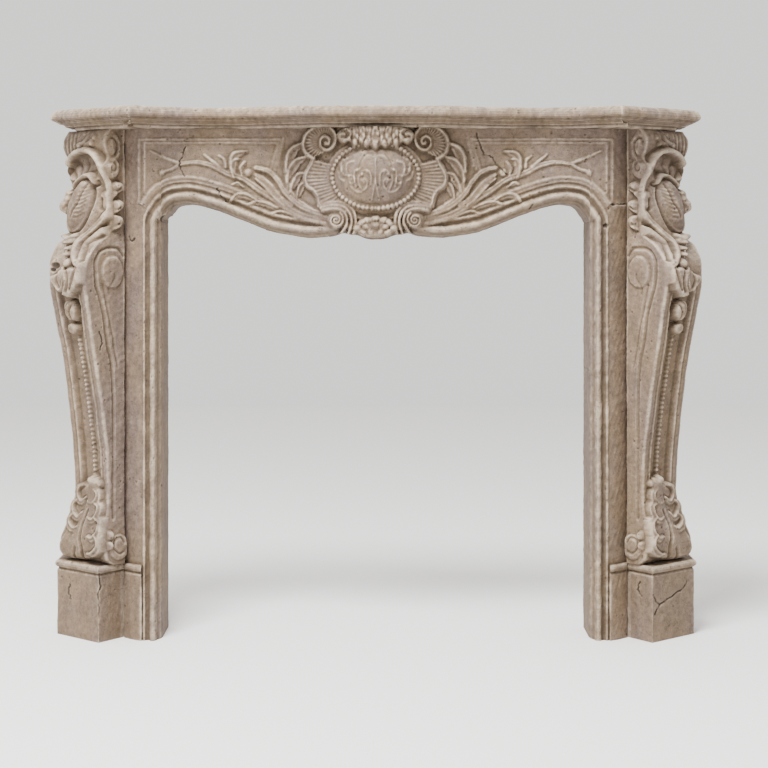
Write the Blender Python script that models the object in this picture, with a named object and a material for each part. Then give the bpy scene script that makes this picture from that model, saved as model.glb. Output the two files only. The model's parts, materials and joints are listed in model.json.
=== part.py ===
"""A carved stone fireplace mantel in the rococo manner, made as the mason makes it: two plinths, two
console legs set on the diagonal, two jambs beside the opening, one carved frieze and a shelf.

Metres, +Z up. The origin is the middle of the part's box, on the floor. The front faces -Y, and the
flat back that goes against the wall is at WALL_Y.
"""

import math

import bpy
import numpy as np

# The opening, and the stone beside it
OPENING_HALF = 0.461
JAMB_WIDTH = 0.0826
SPRING_Z = 0.897
JOINT_RISE = 0.039
JOINT_GAP = 0.0003
FIELD_DEPTH = 0.145
BAND_WIDTH = 0.0546
JAMB_CORNER_DEPTH = 0.105
SWELL_DEPTH = 0.055
SWELL_HALF = 0.175
MOULDING_BITE = 0.035

# The plinths
PLINTH_HEIGHT = 0.1443
CAP_HEIGHT = 0.018
CAP_OVERHANG = 0.005
PLINTH_INNER = 0.080
PLINTH_INNER_TURN = math.radians(35.5)
PLINTH_FACE = 0.1436
PLINTH_FACE_TURN = math.radians(43.0)

# The legs
LEG_RECESS = 0.040
LEG_ARRIS = 0.005
LEG_PROUD = 0.004
LEG_BORDER = 0.0245
LEG_SCOOP = 0.015
LEG_STRING_HALF = 0.006
LEG_STRING_RISE = 0.005

# The shelf
SHELF_BOTTOM = 1.0980
SHELF_THICKNESS = 0.0425
SHELF_SIDE_OVERHANG = 0.0105
SHELF_MIDDLE_HALF = 0.105
SHELF_MIDDLE_DEPTH = 0.250
SHELF_RECESS_X = 0.340
SHELF_RECESS_DEPTH = 0.190
SHELF_CORNER_X = 0.515
SHELF_DEPTH = 0.264
SHELF_SIDE_DEPTH = 0.100

# The drawing that the frieze's carving follows: squares out from the middle, and up from its foot
SQUARE = OPENING_HALF / 215.0
DRAWING_FOOT = SPRING_Z - 0.0595

# The eye that the drawing of the legs is seen from: its height, its distance from the wall, and how much
# a square of the drawing spans at a distance of one metre
EYE_HEIGHT = 0.8375
EYE_DISTANCE = 4.17
EYE_SQUARE = 1.0 / 1877.0

# How finely the carving is cut before it is faceted, and how many facets are kept
CARVING_STEP = 0.004
FRIEZE_FACETS = 3300
LEG_FACETS = 2450

WALL_Y = SHELF_DEPTH / 2.0
JAMB_OUTER = OPENING_HALF + JAMB_WIDTH
JAMB_JOINT_Z = SPRING_Z + JOINT_RISE
PLINTH_TOP = PLINTH_HEIGHT + CAP_HEIGHT
LEG_FOOT = PLINTH_TOP + JOINT_GAP
LEG_HEAD = SHELF_BOTTOM - JOINT_GAP
LEG_HEIGHT = LEG_HEAD - LEG_FOOT

# Plan directions of a right-hand leg: along its carved face, and out of that face
ALONG = np.array([math.cos(PLINTH_FACE_TURN), math.sin(PLINTH_FACE_TURN)])
OUTWARD = np.array([math.sin(PLINTH_FACE_TURN), -math.cos(PLINTH_FACE_TURN)])
JAMB_CORNER = np.array([JAMB_OUTER, WALL_Y - JAMB_CORNER_DEPTH])
LEG_CORNER = JAMB_CORNER + np.array([JOINT_GAP / 2, -LEG_PROUD])
PLINTH_FRONT = JAMB_CORNER + PLINTH_INNER * np.array(
    [math.sin(PLINTH_INNER_TURN), -math.cos(PLINTH_INNER_TURN)])
PLINTH_SIDE = PLINTH_FRONT + PLINTH_FACE * ALONG

# Half of the arch's lower edge, from the middle out: share of the half opening, rise from the spring
ARCH_EDGE = (
    (0.000, -0.0365), (0.045, -0.0350), (0.092, -0.0270), (0.118, -0.0262), (0.156, -0.0225),
    (0.202, -0.0290), (0.295, -0.0327), (0.357, -0.0307), (0.477, -0.0212), (0.564, -0.0070),
    (0.666, 0.0120), (0.748, 0.0260), (0.824, 0.0363), (0.870, 0.0400), (0.915, 0.0387),
    (0.950, 0.0330), (0.9865, 0.0115), (1.000, 0.0000),
)

# Section of the moulding round the opening: distance from the edge, height over the field
MOULDING = (
    (0.0, -MOULDING_BITE), (0.003, -0.020), (0.0085, -0.010), (0.010, -0.002), (0.0135, 0.005),
    (0.0175, 0.0065), (0.0215, 0.004), (0.0245, -0.003), (0.028, -0.005), (0.0315, -0.003),
    (0.0345, 0.003), (0.0375, 0.003), (0.0400, 0.0),
)
# The fillets that end the frieze's panel below: distance from the opening's edge, height
PANEL_FOOT = (
    (0.0400, 0.0), (0.0445, -0.001), (0.047, 0.0035), (0.0500, 0.002), (0.0525, 0.0030),
    (0.0560, 0.0045), (0.0590, 0.0025), (0.0610, 0.0),
)
PANEL_HALF = 237.3

# A leg's stations: share of its height, depth of the face, width of the face, step of its side
LEG_STATIONS = (
    (0.000, 0.040, 0.146, 0.011), (0.006, 0.050, 0.146, 0.012), (0.018, 0.061, 0.149, 0.013),
    (0.048, 0.068, 0.151, 0.013), (0.081, 0.064, 0.137, 0.011), (0.113, 0.058, 0.125, 0.010),
    (0.146, 0.054, 0.1175, 0.010), (0.178, 0.053, 0.116, 0.010), (0.254, 0.0555, 0.119, 0.010),
    (0.307, 0.0625, 0.117, 0.010), (0.374, 0.072, 0.115, 0.010), (0.471, 0.089, 0.112, 0.010),
    (0.527, 0.0985, 0.115, 0.010), (0.582, 0.107, 0.120, 0.010), (0.6335, 0.117, 0.121, 0.010),
    (0.666, 0.119, 0.119, 0.010), (0.699, 0.112, 0.126, 0.010), (0.7265, 0.093, 0.133, 0.010),
    (0.738, 0.081, 0.135, 0.010), (0.754, 0.055, 0.135, 0.008), (0.782, 0.043, 0.135, 0.005),
    (0.820, 0.042, 0.134, 0.003), (0.8595, 0.0430, 0.1265, 0.0), (0.878, 0.0475, 0.1245, 0.0),
    (0.895, 0.0570, 0.1215, 0.0), (0.906, 0.0625, 0.1200, 0.0), (0.914, 0.0620, 0.1200, 0.0),
    (0.921, 0.0550, 0.1270, 0.0), (0.928, 0.0480, 0.1370, 0.0), (0.937, 0.0450, 0.1440, 0.0),
    (0.950, 0.0500, 0.1465, 0.0),
    (0.963, 0.053, 0.1465, 0.0), (0.976, 0.052, 0.1465, 0.0), (0.988, 0.044, 0.1465, 0.0),
    (1.000, 0.028, 0.1465, 0.0),
)

# How far the face overhangs its sides round the shield: share of the height, inner lip, outer lip
LEG_LIPS = (
    (0.700, 0.0, 0.0), (0.745, 0.000, 0.003), (0.790, 0.002, 0.008), (0.815, 0.003, 0.012),
    (0.840, 0.005, 0.008), (0.868, 0.005, 0.001), (0.895, 0.004, 0.004), (0.915, 0.002, 0.003),
    (0.935, 0.0, 0.0),
)


def clear_scene():
    for thing in list(bpy.data.objects):
        bpy.data.objects.remove(thing, do_unlink=True)


def stone():
    material = bpy.data.materials.new("weathered stone")
    material.use_nodes = True
    shader = material.node_tree.nodes["Principled BSDF"]
    shader.inputs["Base Color"].default_value = (0.43, 0.36, 0.29, 1.0)
    shader.inputs["Roughness"].default_value = 0.82
    shader.inputs["Metallic"].default_value = 0.0
    return material


def add_piece(name, points, faces, material, facets=None):
    """One closed body. With facets, its carved surface is reduced to about that many triangles."""
    mesh = bpy.data.meshes.new(name)
    mesh.from_pydata([tuple(map(float, point)) for point in points], [], faces)
    mesh.validate()
    mesh.materials.append(material)
    piece = bpy.data.objects.new(name, mesh)
    bpy.context.scene.collection.objects.link(piece)
    triangles = sum(len(face) - 2 for face in faces)
    if facets and facets < triangles:
        reduce = piece.modifiers.new("facets", "DECIMATE")
        reduce.ratio = facets / triangles
    return piece


# Curves and the carver's strokes

def curve_through(points, steps=6):
    """Points along a smooth curve through the given points."""
    knots = np.array(points, float)
    knots = np.vstack([2 * knots[0] - knots[1], knots, 2 * knots[-1] - knots[-2]])
    share = (np.arange(steps) / steps)[:, None]
    spans = []
    for before, start, end, after in zip(knots, knots[1:], knots[2:], knots[3:]):
        spans.append(0.5 * (2 * start + (end - before) * share
                            + (2 * before - 5 * start + 4 * end - after) * share ** 2
                            + (3 * start - before - 3 * end + after) * share ** 3))
    return np.vstack(spans + [knots[-2]])


def spiral_path(centre, outer, turns, start, inner=0.15, steps=14):
    """A spiral that winds in; start is the angle of its outer end, and turns has a sign."""
    share = np.linspace(0.0, 1.0, int(abs(turns) * steps) + 1)
    angle = start + 2 * math.pi * turns * share
    radius = outer * (1 - (1 - inner) * share ** 0.8)
    return np.column_stack([centre[0] + radius * np.cos(angle), centre[1] + radius * np.sin(angle)])


# A height that carving never reaches
UNTOUCHED = -1.0


class Carving:
    """Heights of carving over places (u, v) on a face. What is carved later lies over what is there."""

    def __init__(self, u, v, ground=0.0):
        self.u, self.v = np.broadcast_arrays(u, v)
        self.height = np.zeros(self.u.shape)
        self.ground = np.broadcast_to(ground, self.u.shape)

    def along(self, path, reach):
        """Places near a path: a mask, and there the distance, the side of the path and the share of it."""
        low, high = path.min(axis=0) - reach, path.max(axis=0) + reach
        mask = (self.u > low[0]) & (self.u < high[0]) & (self.v > low[1]) & (self.v < high[1])
        u, v = self.u[mask], self.v[mask]
        nearest, side, share = np.full(u.shape, np.inf), np.zeros(u.shape), np.zeros(u.shape)
        spans = np.diff(path, axis=0)
        lengths = np.hypot(spans[:, 0], spans[:, 1])
        starts = np.concatenate([[0.0], np.cumsum(lengths)])
        for (pu, pv), (du, dv), length, start in zip(path, spans, lengths, starts):
            if length == 0.0:
                continue
            part = np.clip(((u - pu) * du + (v - pv) * dv) / length ** 2, 0.0, 1.0)
            off_u, off_v = u - pu - part * du, v - pv - part * dv
            distance = np.hypot(off_u, off_v)
            closer = distance < nearest
            nearest = np.where(closer, distance, nearest)
            side = np.where(closer, np.sign(du * off_v - dv * off_u), side)
            share = np.where(closer, (start + part * length) / starts[-1], share)
        return mask, nearest, side, share

    def within(self, outline):
        """Places inside a closed outline."""
        inside = np.zeros(self.u.shape, bool)
        for (u0, v0), (u1, v1) in zip(outline, outline[1:]):
            if v0 != v1:
                crosses = (self.v < v0) != (self.v < v1)
                inside ^= crosses & (self.u < u0 + (u1 - u0) * (self.v - v0) / (v1 - v0))
        return inside

    def lay(self, mask, height):
        self.height[mask] = np.maximum(self.height[mask], height)

    def rib(self, path, width, height, tip=1.0, end_height=None):
        """A round rib along a path. Its half width goes from width to width times tip."""
        mask, distance, _, share = self.along(path, width * max(1.0, tip))
        half = width * (1 + (tip - 1) * share)
        last = height * (1 + tip) / 2 if end_height is None else end_height
        round_over = np.sqrt(np.clip(1 - (distance / half) ** 2, 0.0, 1.0))
        top = (height + (last - height) * share) * round_over
        self.lay(mask, np.where(distance < half, top, UNTOUCHED))

    def strip(self, places, half, crown):
        """A rim along a path of (u, v, depth), told from where the ground is: its edges are crown lower."""
        mask, distance, _, share = self.along(places[:, :2], half)
        steps = np.hypot(*np.diff(places[:, :2], axis=0).T)
        shares = np.concatenate([[0.0], np.cumsum(steps)]) / steps.sum()
        round_over = np.sqrt(np.clip(1 - (distance / half) ** 2, 0.0, 1.0))
        top = np.interp(share, shares, places[:, 2]) - self.ground[mask] - crown * (1 - round_over)
        self.lay(mask, np.where(distance < half, top, UNTOUCHED))

    def blade(self, path, width, height, side=1, hollow=0.7):
        """A leaf whose back is the path: a crisp rim there, hollowed towards its other edge."""
        mask, distance, where, share = self.along(path, width)
        reach = width * np.sin(np.pi * np.clip(share, 0.02, 0.98)) ** 0.6
        inside = np.clip(distance / reach, 0.0, 1.0)
        rim = np.where(where * side >= 0, 1 - hollow * inside ** 0.6,
                       np.sqrt(np.clip(1 - (distance / (0.18 * width)) ** 2, 0.0, 1.0)))
        shown = (rim > 0) & ((where * side < 0) | (distance < reach))
        self.lay(mask, np.where(shown, height * rim, UNTOUCHED))

    def dome(self, centre, radii, height, power=0.5, lean=0.0):
        cos, sin = math.cos(lean), math.sin(lean)
        du, dv = self.u - centre[0], self.v - centre[1]
        off = ((du * cos + dv * sin) / radii[0]) ** 2 + ((dv * cos - du * sin) / radii[1]) ** 2
        self.lay(off < 1, height * (1 - off[off < 1]) ** power)

    def groove(self, path, width, depth):
        mask, distance, _, _ = self.along(path, width)
        self.height[mask] -= depth * np.clip(1 - (distance / width) ** 2, 0.0, 1.0)


def squares(*places):
    """Places on the frieze's drawing, in squares out from the middle and up, as metres."""
    return np.array(places, float) * SQUARE


# The frieze's carving, for one half: u is out from the middle, v is up from the drawing's foot

def carve_panel_frame(carving):
    """The sunk panel's double fillet, which ends in a slanted side behind the spray."""
    for inset in (0.0, 3.3):
        outer = PANEL_HALF - 1.8 * inset
        carving.rib(squares((outer, 47 + 3 * inset), (outer, 110.4 - inset),
                            (95 + 0.8 * inset, 110.4 - inset), (101 + inset, 80)), 0.0030, 0.0026)
    carving.rib(squares((92, 112), (95, 98), (98, 84)), 0.0026, 0.0026)


def carve_spray(carving):
    """The branch and its leaves that run out from the lower volute."""
    stems = (
        (((44, 29), (63, 39), (81, 52), (88, 67), (88.5, 80), (86, 94)), 0.0085, 0.0080, 0.45),
        (((46, 33), (72, 42), (88, 55), (98, 70), (108, 79), (120, 82)), 0.0075, 0.0095, 0.7),
        (((46, 27), (76, 35), (100, 50), (116, 60), (132, 71), (148, 76), (159, 82), (168, 85.5),
          (181, 87.6), (197, 85.5)), 0.0095, 0.0075, 0.40),
        (((84, 44), (96, 53), (104, 64), (112, 71), (120, 75)), 0.0050, 0.0075, 0.8),
        (((195, 86), (209, 91.4), (225, 99)), 0.0040, 0.0040, 0.6),
        (((195, 86), (204, 80.5), (211, 78.5)), 0.0038, 0.0040, 0.9),
        (((156, 82), (163, 88.5), (171, 95)), 0.0045, 0.0055, 0.6),
        (((150, 83), (151, 90), (156.5, 94.3)), 0.0040, 0.0050, 0.6),
    )
    for path, width, height, tip in stems:
        carving.rib(curve_through(squares(*path)), width, height, tip)
    leaves = (
        (((90, 78), (88.5, 95), (82, 103.5), (72, 107)), 0.019, 0.0085, 1),
        (((88.5, 68), (87, 80), (80, 90), (68.6, 93.5)), 0.017, 0.0085, 1),
        (((85, 58), (83.5, 67), (78.6, 75.3), (71, 77)), 0.014, 0.0080, 1),
        (((78.6, 51), (78, 58.7), (75.3, 65.3), (68, 69)), 0.013, 0.0080, 1),
        (((141.6, 72), (145, 82), (145, 92), (140, 97.7), (129, 98.5)), 0.016, 0.0080, 1),
        (((140, 75.3), (144, 83.6), (141.6, 90), (136.6, 91)), 0.010, 0.0070, 1),
        (((133.3, 73.6), (135.8, 82), (130.8, 88.5)), 0.009, 0.0070, 1),
        (((145, 48.7), (140, 55.4), (130, 56.2), (119, 50)), 0.011, 0.0080, 1),
        (((127, 46), (118.4, 48.7), (108.4, 47), (98, 42)), 0.009, 0.0075, 1),
        (((104, 37), (93.5, 38.8), (80, 33)), 0.008, 0.0065, 1),
        (((86, 30.5), (77, 32), (67, 28)), 0.006, 0.0060, 1),
        (((144, 65.3), (138.3, 67.8), (132, 63)), 0.007, 0.0060, 1),
    )
    for path, width, height, side in leaves:
        carving.blade(curve_through(squares(*path)), width, height, side)
    carving.blade(curve_through(squares((120, 71), (112, 64), (100, 51), (91, 44))), 0.016, 0.0085, -1, 0.5)
    carving.dome(squares((127.5, 77))[0], (0.0095, 0.0095), 0.0080)
    carving.dome(squares((213.5, 77.3))[0], (0.0070, 0.0070), 0.0060)


def carve_shell(carving):
    """The fluted shell wing beside the oval, its waved rim, the top spiral and the lower volute."""
    middle = squares((0, 73))[0]
    rim = curve_through(squares((63, 93.8), (63.5, 87.3), (69, 76.4), (70, 70), (66, 62.3), (58, 58.5),
                                (56, 45), (50, 39.6), (40, 37.4), (29.6, 37.0)))
    du, dv = (carving.u - middle[0]) / 1.25, carving.v - middle[1]
    angle, radius = np.arctan2(dv, du), np.hypot(du, dv)
    rim_angle = np.arctan2(rim[:, 1] - middle[1], (rim[:, 0] - middle[0]) / 1.25)
    rim_radius = np.hypot((rim[:, 0] - middle[0]) / 1.25, rim[:, 1] - middle[1])
    order = np.argsort(rim_angle)
    reach = np.interp(angle, rim_angle[order], rim_radius[order], left=0.0, right=0.0)
    inside = (radius < reach) & (reach > 0)
    flutes = 0.0016 * np.cos(angle[inside] * 34)
    bowl = 0.006 + 0.006 * (radius[inside] / reach[inside]) ** 2
    carving.lay(inside, bowl + flutes)
    carving.rib(rim, 0.0060, 0.0150)
    carving.dome(squares((57, 108))[0], (0.0340, 0.0330), 0.0130, 0.25)
    carving.rib(spiral_path(squares((57, 108))[0], 0.0305, 1.6, math.radians(-110), 0.30), 0.0055, 0.0185)
    carving.dome(squares((51, 107.5))[0], (0.0085, 0.0085), 0.0190)


def carve_volute(carving):
    """The lower volute, with the rolls that wrap round it towards the middle."""
    centre = squares((38, 29))[0]
    carving.rib(curve_through(squares((52, 41), (40, 42), (28, 36), (21.5, 27), (22, 18), (25, 14))),
                0.0095, 0.0170, 0.8)
    carving.rib(curve_through(squares((50, 37), (40, 38.5), (31, 33), (28.5, 26), (30, 19))), 0.0070, 0.0190)
    carving.dome(centre, (0.0180, 0.0175), 0.0150, 0.3)
    carving.rib(spiral_path(centre, 0.0150, 1.5, math.radians(200), 0.2), 0.0040, 0.0195)


def carve_cartouche(carving):
    """The oval boss in its string of beads, the leaf that hangs over it, and the pendant below."""
    middle = squares((0, 73))[0]
    wide, tall = 42.5 * SQUARE, 32.5 * SQUARE
    carving.dome(middle, (wide * 1.16, tall * 1.16), 0.0125, 0.22)
    turn = np.linspace(-math.pi, math.pi, 61)
    ring = np.column_stack([middle[0] + wide * np.cos(turn), middle[1] + tall * np.sin(turn)])
    carving.rib(ring, 0.0050, 0.0175)
    carving.dome(middle, (wide * 0.90, tall * 0.89), 0.0245, 0.35)
    scroll = curve_through(squares((31, 73), (29, 65), (20, 58.5), (11.5, 57.5), (8, 63), (11, 67), (14, 63)))
    carving.rib(scroll, 0.0042, 0.0285)
    carving.rib(squares((0, 95), (0, 44)), 0.0045, 0.0270)
    carving.rib(curve_through(squares((18, 77), (14.5, 71), (9, 72), (6, 66))), 0.0045, 0.0285, 0.7)
    leaf = curve_through(squares((0, 110), (14, 112), (27, 112), (36, 109), (41, 106)))
    carving.rib(leaf, 0.0185, 0.0330, 0.75)
    carving.rib(curve_through(squares((0, 105), (8, 104), (18, 106), (28, 104))), 0.0080, 0.0360, 0.8)
    carving.rib(spiral_path(squares((34, 106))[0], 0.0150, 1.2, math.radians(120), 0.3), 0.0050, 0.0340)
    carving.dome(squares((0, 22))[0], (20.5 * SQUARE, 10.5 * SQUARE), 0.0230, 0.5)
    carving.rib(curve_through(squares((0, 24), (9, 25), (16, 21))), 0.0070, 0.0250, 0.7)


def arch_edge():
    """The opening's edge on one side, from the middle out and then down to the floor, as (x, z)."""
    points = [(share * OPENING_HALF, SPRING_Z + rise) for share, rise in ARCH_EDGE]
    curve = curve_through(points, 4)
    curve[:, 0] = np.minimum(curve[:, 0], OPENING_HALF)
    return np.vstack([curve, [OPENING_HALF, 0.0]])


def lower_edge(x):
    """Height of the frieze's lower edge: the arch, then the joint with the jamb."""
    edge = arch_edge()[:-1]
    joint_x = (OPENING_HALF, JAMB_OUTER - BAND_WIDTH * 0.74, JAMB_OUTER + 1.0)
    joint_z = (SPRING_Z, JAMB_JOINT_Z, JAMB_JOINT_Z)
    return np.where(np.abs(x) < OPENING_HALF, np.interp(np.abs(x), edge[:, 0], edge[:, 1]),
                    np.interp(np.abs(x), joint_x, joint_z))


def field_depth(x):
    """Depth of the plain field from the wall: it sweeps back to the leg and swells at the middle."""
    x = np.abs(x)
    band = np.clip((x - (JAMB_OUTER - BAND_WIDTH)) / BAND_WIDTH, 0.0, 1.0)
    sweep = (FIELD_DEPTH - JAMB_CORNER_DEPTH) * band ** 1.6
    swell = SWELL_DEPTH * 0.5 * (1 + np.cos(np.pi * np.clip(x / SWELL_HALF, 0.0, 1.0)))
    return FIELD_DEPTH - sweep + swell


def moulding_height(x, z, profile=MOULDING):
    """Height of the opening's moulding over the field, by the distance from the opening's edge."""
    near = Carving(np.abs(x), z)
    section = np.array(profile)
    mask, distance, _, _ = near.along(arch_edge(), section[-1, 0])
    near.height[mask] = np.interp(distance, section[:, 0], section[:, 1])
    return near.height


def frieze_depth(x, z):
    """Depth of the frieze's carved face from the wall."""
    carving = Carving(np.abs(x), z - DRAWING_FOOT)
    for carve in (carve_panel_frame, carve_spray, carve_shell, carve_volute, carve_cartouche):
        carve(carving)
    inside_panel = np.abs(x) < PANEL_HALF * SQUARE
    moulding = moulding_height(x, z, MOULDING)
    moulding += np.where(inside_panel, moulding_height(x, z, ((0.0, 0.0),) + PANEL_FOOT), 0.0)
    raised = np.where(moulding < 0, np.where(carving.height > 0.004, carving.height, moulding),
                      np.maximum(moulding, carving.height))
    return field_depth(x) + raised


def walled_sheet(front, name, material, facets=None):
    """A body from a grid of points on its front face, closed back to a flat face at the wall."""
    rows, columns = front.shape[:2]
    back = front[[0, -1]].copy()
    back[:, :, 1] = WALL_Y
    points = np.vstack([front.reshape(-1, 3), back.reshape(-1, 3)])
    low, high = rows * columns, rows * columns + columns
    faces = []
    for row in range(rows - 1):
        for column in range(columns - 1):
            first = row * columns + column
            faces.append((first, first + 1, first + columns + 1, first + columns))
    top = (rows - 1) * columns
    for column in range(columns - 1):
        faces.append((low + column + 1, low + column, high + column, high + column + 1))
        faces.append((low + column, low + column + 1, column + 1, column))
        faces.append((high + column + 1, high + column, top + column, top + column + 1))
    faces.append(tuple([row * columns for row in range(rows)] + [high, low]))
    faces.append(tuple([row * columns + columns - 1 for row in reversed(range(rows))]
                       + [low + columns - 1, high + columns - 1]))
    return add_piece(name, points, faces, material, facets)


def make_frieze(material):
    half = JAMB_OUTER - JOINT_GAP / 2
    breaks = (JAMB_OUTER - BAND_WIDTH * 0.74, OPENING_HALF)
    stops = sorted([-half, half] + [sign * x for x in breaks for sign in (-1, 1)])
    x = np.concatenate([np.linspace(a, b, max(3, round((b - a) / CARVING_STEP)) + 1)[:-1]
                        for a, b in zip(stops, stops[1:])] + [[half]])
    rows = round((LEG_HEAD - SPRING_Z) / CARVING_STEP) + 1
    rise = np.linspace(0.0, 1.0, rows)[:, None]
    low = lower_edge(x)
    z = low + (LEG_HEAD - low) * rise
    x = np.broadcast_to(x, z.shape)
    front = np.dstack([x, WALL_Y - frieze_depth(x, z), z])
    return walled_sheet(front, "frieze", material, FRIEZE_FACETS)


def cap_profile():
    """The cap moulding from the block's top up: how far it stands proud, and its height over the floor."""
    proud = [0.0, 0.0] + [CAP_OVERHANG * share for share in (-0.6, -0.6, 0.1, 0.7, 1.0, 0.7, 0.1, -0.4)]
    rise = [-1.0, -0.22] + [0.0, 0.10, 0.16, 0.30, 0.55, 0.80, 0.94, 1.0]
    height = [0.0] + [PLINTH_HEIGHT + CAP_HEIGHT * share for share in rise[1:]]
    return list(zip(proud, height))


def make_jamb(name, side, material):
    """The slip beside the opening: its band, its moulding, and its base block under the cap moulding."""
    section = [OPENING_HALF + distance for distance, _ in MOULDING]
    foot_edge = section[-1] + 0.001
    band = np.linspace(foot_edge, JAMB_OUTER - JOINT_GAP / 2, 5)
    x = np.array(section + list(band))
    cap = cap_profile()
    base_top = cap[-1][1] + JOINT_GAP / 2
    top = lower_edge(np.where(x <= OPENING_HALF, OPENING_HALF, x)) - 1.3 * JOINT_GAP
    proud = np.array([0.008 + over for over, _ in cap] + [0.0, 0.0, 0.0])
    levels = [np.full(x.shape, height) for _, height in cap]
    levels += [np.full(x.shape, base_top), base_top + (top - base_top) * 0.5, top]
    z = np.vstack(levels)
    x = np.broadcast_to(x, z.shape)
    on_block = np.where(x >= foot_edge, proud[:, None], 0.0)
    depth = field_depth(x) + moulding_height(x, np.minimum(z, SPRING_Z)) + on_block
    front = np.dstack([side * x, WALL_Y - depth, z])
    if side < 0:
        front = front[:, ::-1]
    return walled_sheet(front, name, material)


# Bodies built up from one plan whose moulded edges step in and out

def shifted_plan(corners, shifts):
    """The corners of a plan after each edge moves outwards by its own shift."""
    corners = np.array(corners, float)
    after = np.roll(corners, -1, axis=0)
    run = after - corners
    run /= np.hypot(run[:, 0], run[:, 1])[:, None]
    outward = np.column_stack([run[:, 1], -run[:, 0]])
    moved = []
    for index in range(len(corners)):
        n0, n1 = outward[index - 1], outward[index]
        s0, s1 = shifts[index - 1], shifts[index]
        cross = n0[0] * n1[1] - n0[1] * n1[0]
        if abs(cross) < 1e-6:
            moved.append(corners[index] + n1 * s1)
        else:
            shift = np.array([s0 * n1[1] - s1 * n0[1], s1 * n0[0] - s0 * n1[0]])
            moved.append(corners[index] + shift / cross)
    return moved


def stacked(name, corners, moulded, profile, material):
    """A body from a plan, counter-clockwise, whose moulded edges stand proud by the profile's amounts."""
    count = len(corners)
    points = []
    for proud, height in profile:
        ring = shifted_plan(corners, [proud if edge in moulded else 0.0 for edge in range(count)])
        points += [(x, y, height) for x, y in ring]
    faces = [tuple(reversed(range(count)))]
    for level in range(len(profile) - 1):
        for corner in range(count):
            follows = (corner + 1) % count
            low, high = level * count, (level + 1) * count
            faces.append((low + corner, low + follows, high + follows, high + corner))
    faces.append(tuple(range(len(points) - count, len(points))))
    return add_piece(name, points, faces, material)


def make_plinth(name, side, material):
    joint = JAMB_OUTER + JOINT_GAP / 2
    corners = [(joint, JAMB_CORNER[1]), tuple(PLINTH_FRONT), tuple(PLINTH_SIDE),
               (PLINTH_SIDE[0], WALL_Y), (joint, WALL_Y)]
    moulded = {0, 1, 2}
    if side < 0:
        corners = [(-x, y) for x, y in reversed(corners)]
        moulded = {1, 2, 3}
    return stacked(name, corners, moulded, cap_profile(), material)


def shelf_nose():
    """The shelf's nose on the right, from the middle out to the wall."""
    ease = np.linspace(0.0, 1.0, 9)
    swing = SHELF_MIDDLE_DEPTH - SHELF_RECESS_DEPTH
    back = [(SHELF_MIDDLE_HALF + (SHELF_RECESS_X - SHELF_MIDDLE_HALF) * share,
             SHELF_MIDDLE_DEPTH - swing * 0.5 * (1 - math.cos(math.pi * share))) for share in ease]
    reach = SHELF_DEPTH - SHELF_RECESS_DEPTH
    out = [(SHELF_RECESS_X + (SHELF_CORNER_X - SHELF_RECESS_X) * share,
            SHELF_RECESS_DEPTH + reach * share ** 1.8) for share in ease[1:]]
    side_x = PLINTH_SIDE[0] + SHELF_SIDE_OVERHANG
    return back + out + [(side_x, SHELF_SIDE_DEPTH), (side_x, 0.0)]


def make_shelf(material):
    """The shelf: a round nose over a fillet and a hollow that steps in to the frieze."""
    right = [(x, WALL_Y - depth) for x, depth in shelf_nose()]
    corners = [(-x, y) for x, y in reversed(right)] + right
    profile = [(-0.030, 0.0), (-0.027, 0.0050), (-0.0205, 0.0100), (-0.0130, 0.0130), (-0.0125, 0.0160),
               (-0.0080, 0.0165), (-0.0080, 0.0180), (-0.0035, 0.0195), (-0.0005, 0.0240), (0.0, 0.0290),
               (-0.0012, 0.0350), (-0.0045, 0.0395), (-0.0100, SHELF_THICKNESS)]
    profile = [(proud, SHELF_BOTTOM + rise) for proud, rise in profile]
    moulded = set(range(len(corners) - 1))
    return stacked("shelf", corners, moulded, profile, material)


# The legs' carving. Places are squares of the drawing as the eye sees it from the front: out from the
# middle and up from the eye. On a face, u runs from its middle out and v is the height; on the inner
# side, u is the distance out from the jamb.

def leg_station(rise, part):
    """Depth (1), width (2) or side step (3) of the face at shares of the leg's height."""
    smooth = curve_through(np.array(LEG_STATIONS), 5)
    return np.interp(rise, smooth[:, 0], smooth[:, part])


def on_leg(places, relief, on_side=False):
    """Where sight lines through the drawing's squares meet a leg's face, or its inner side."""
    out_squares, up_squares = np.array(places, float).T
    out, across = np.full(len(out_squares), LEG_RECESS), np.zeros(len(out_squares))
    for _ in range(8):
        plan_y = LEG_CORNER[1] + out * OUTWARD[1] + across * ALONG[1]
        sight = (EYE_DISTANCE - (WALL_Y - plan_y)) * EYE_SQUARE
        x, z = out_squares * sight, EYE_HEIGHT + up_squares * sight
        rise = (z - LEG_FOOT) / LEG_HEIGHT
        if on_side:
            across = -leg_station(rise, 3) - relief
            out = (x - LEG_CORNER[0] - across * ALONG[0]) / OUTWARD[0]
        else:
            out = leg_station(rise, 1) + relief
            across = (x - LEG_CORNER[0] - out * OUTWARD[0]) / ALONG[0]
    if on_side:
        return np.column_stack([out, z])
    middle = leg_station(rise, 2) / 2 - leg_station(rise, 3)
    return np.column_stack([across - middle, z])


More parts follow.
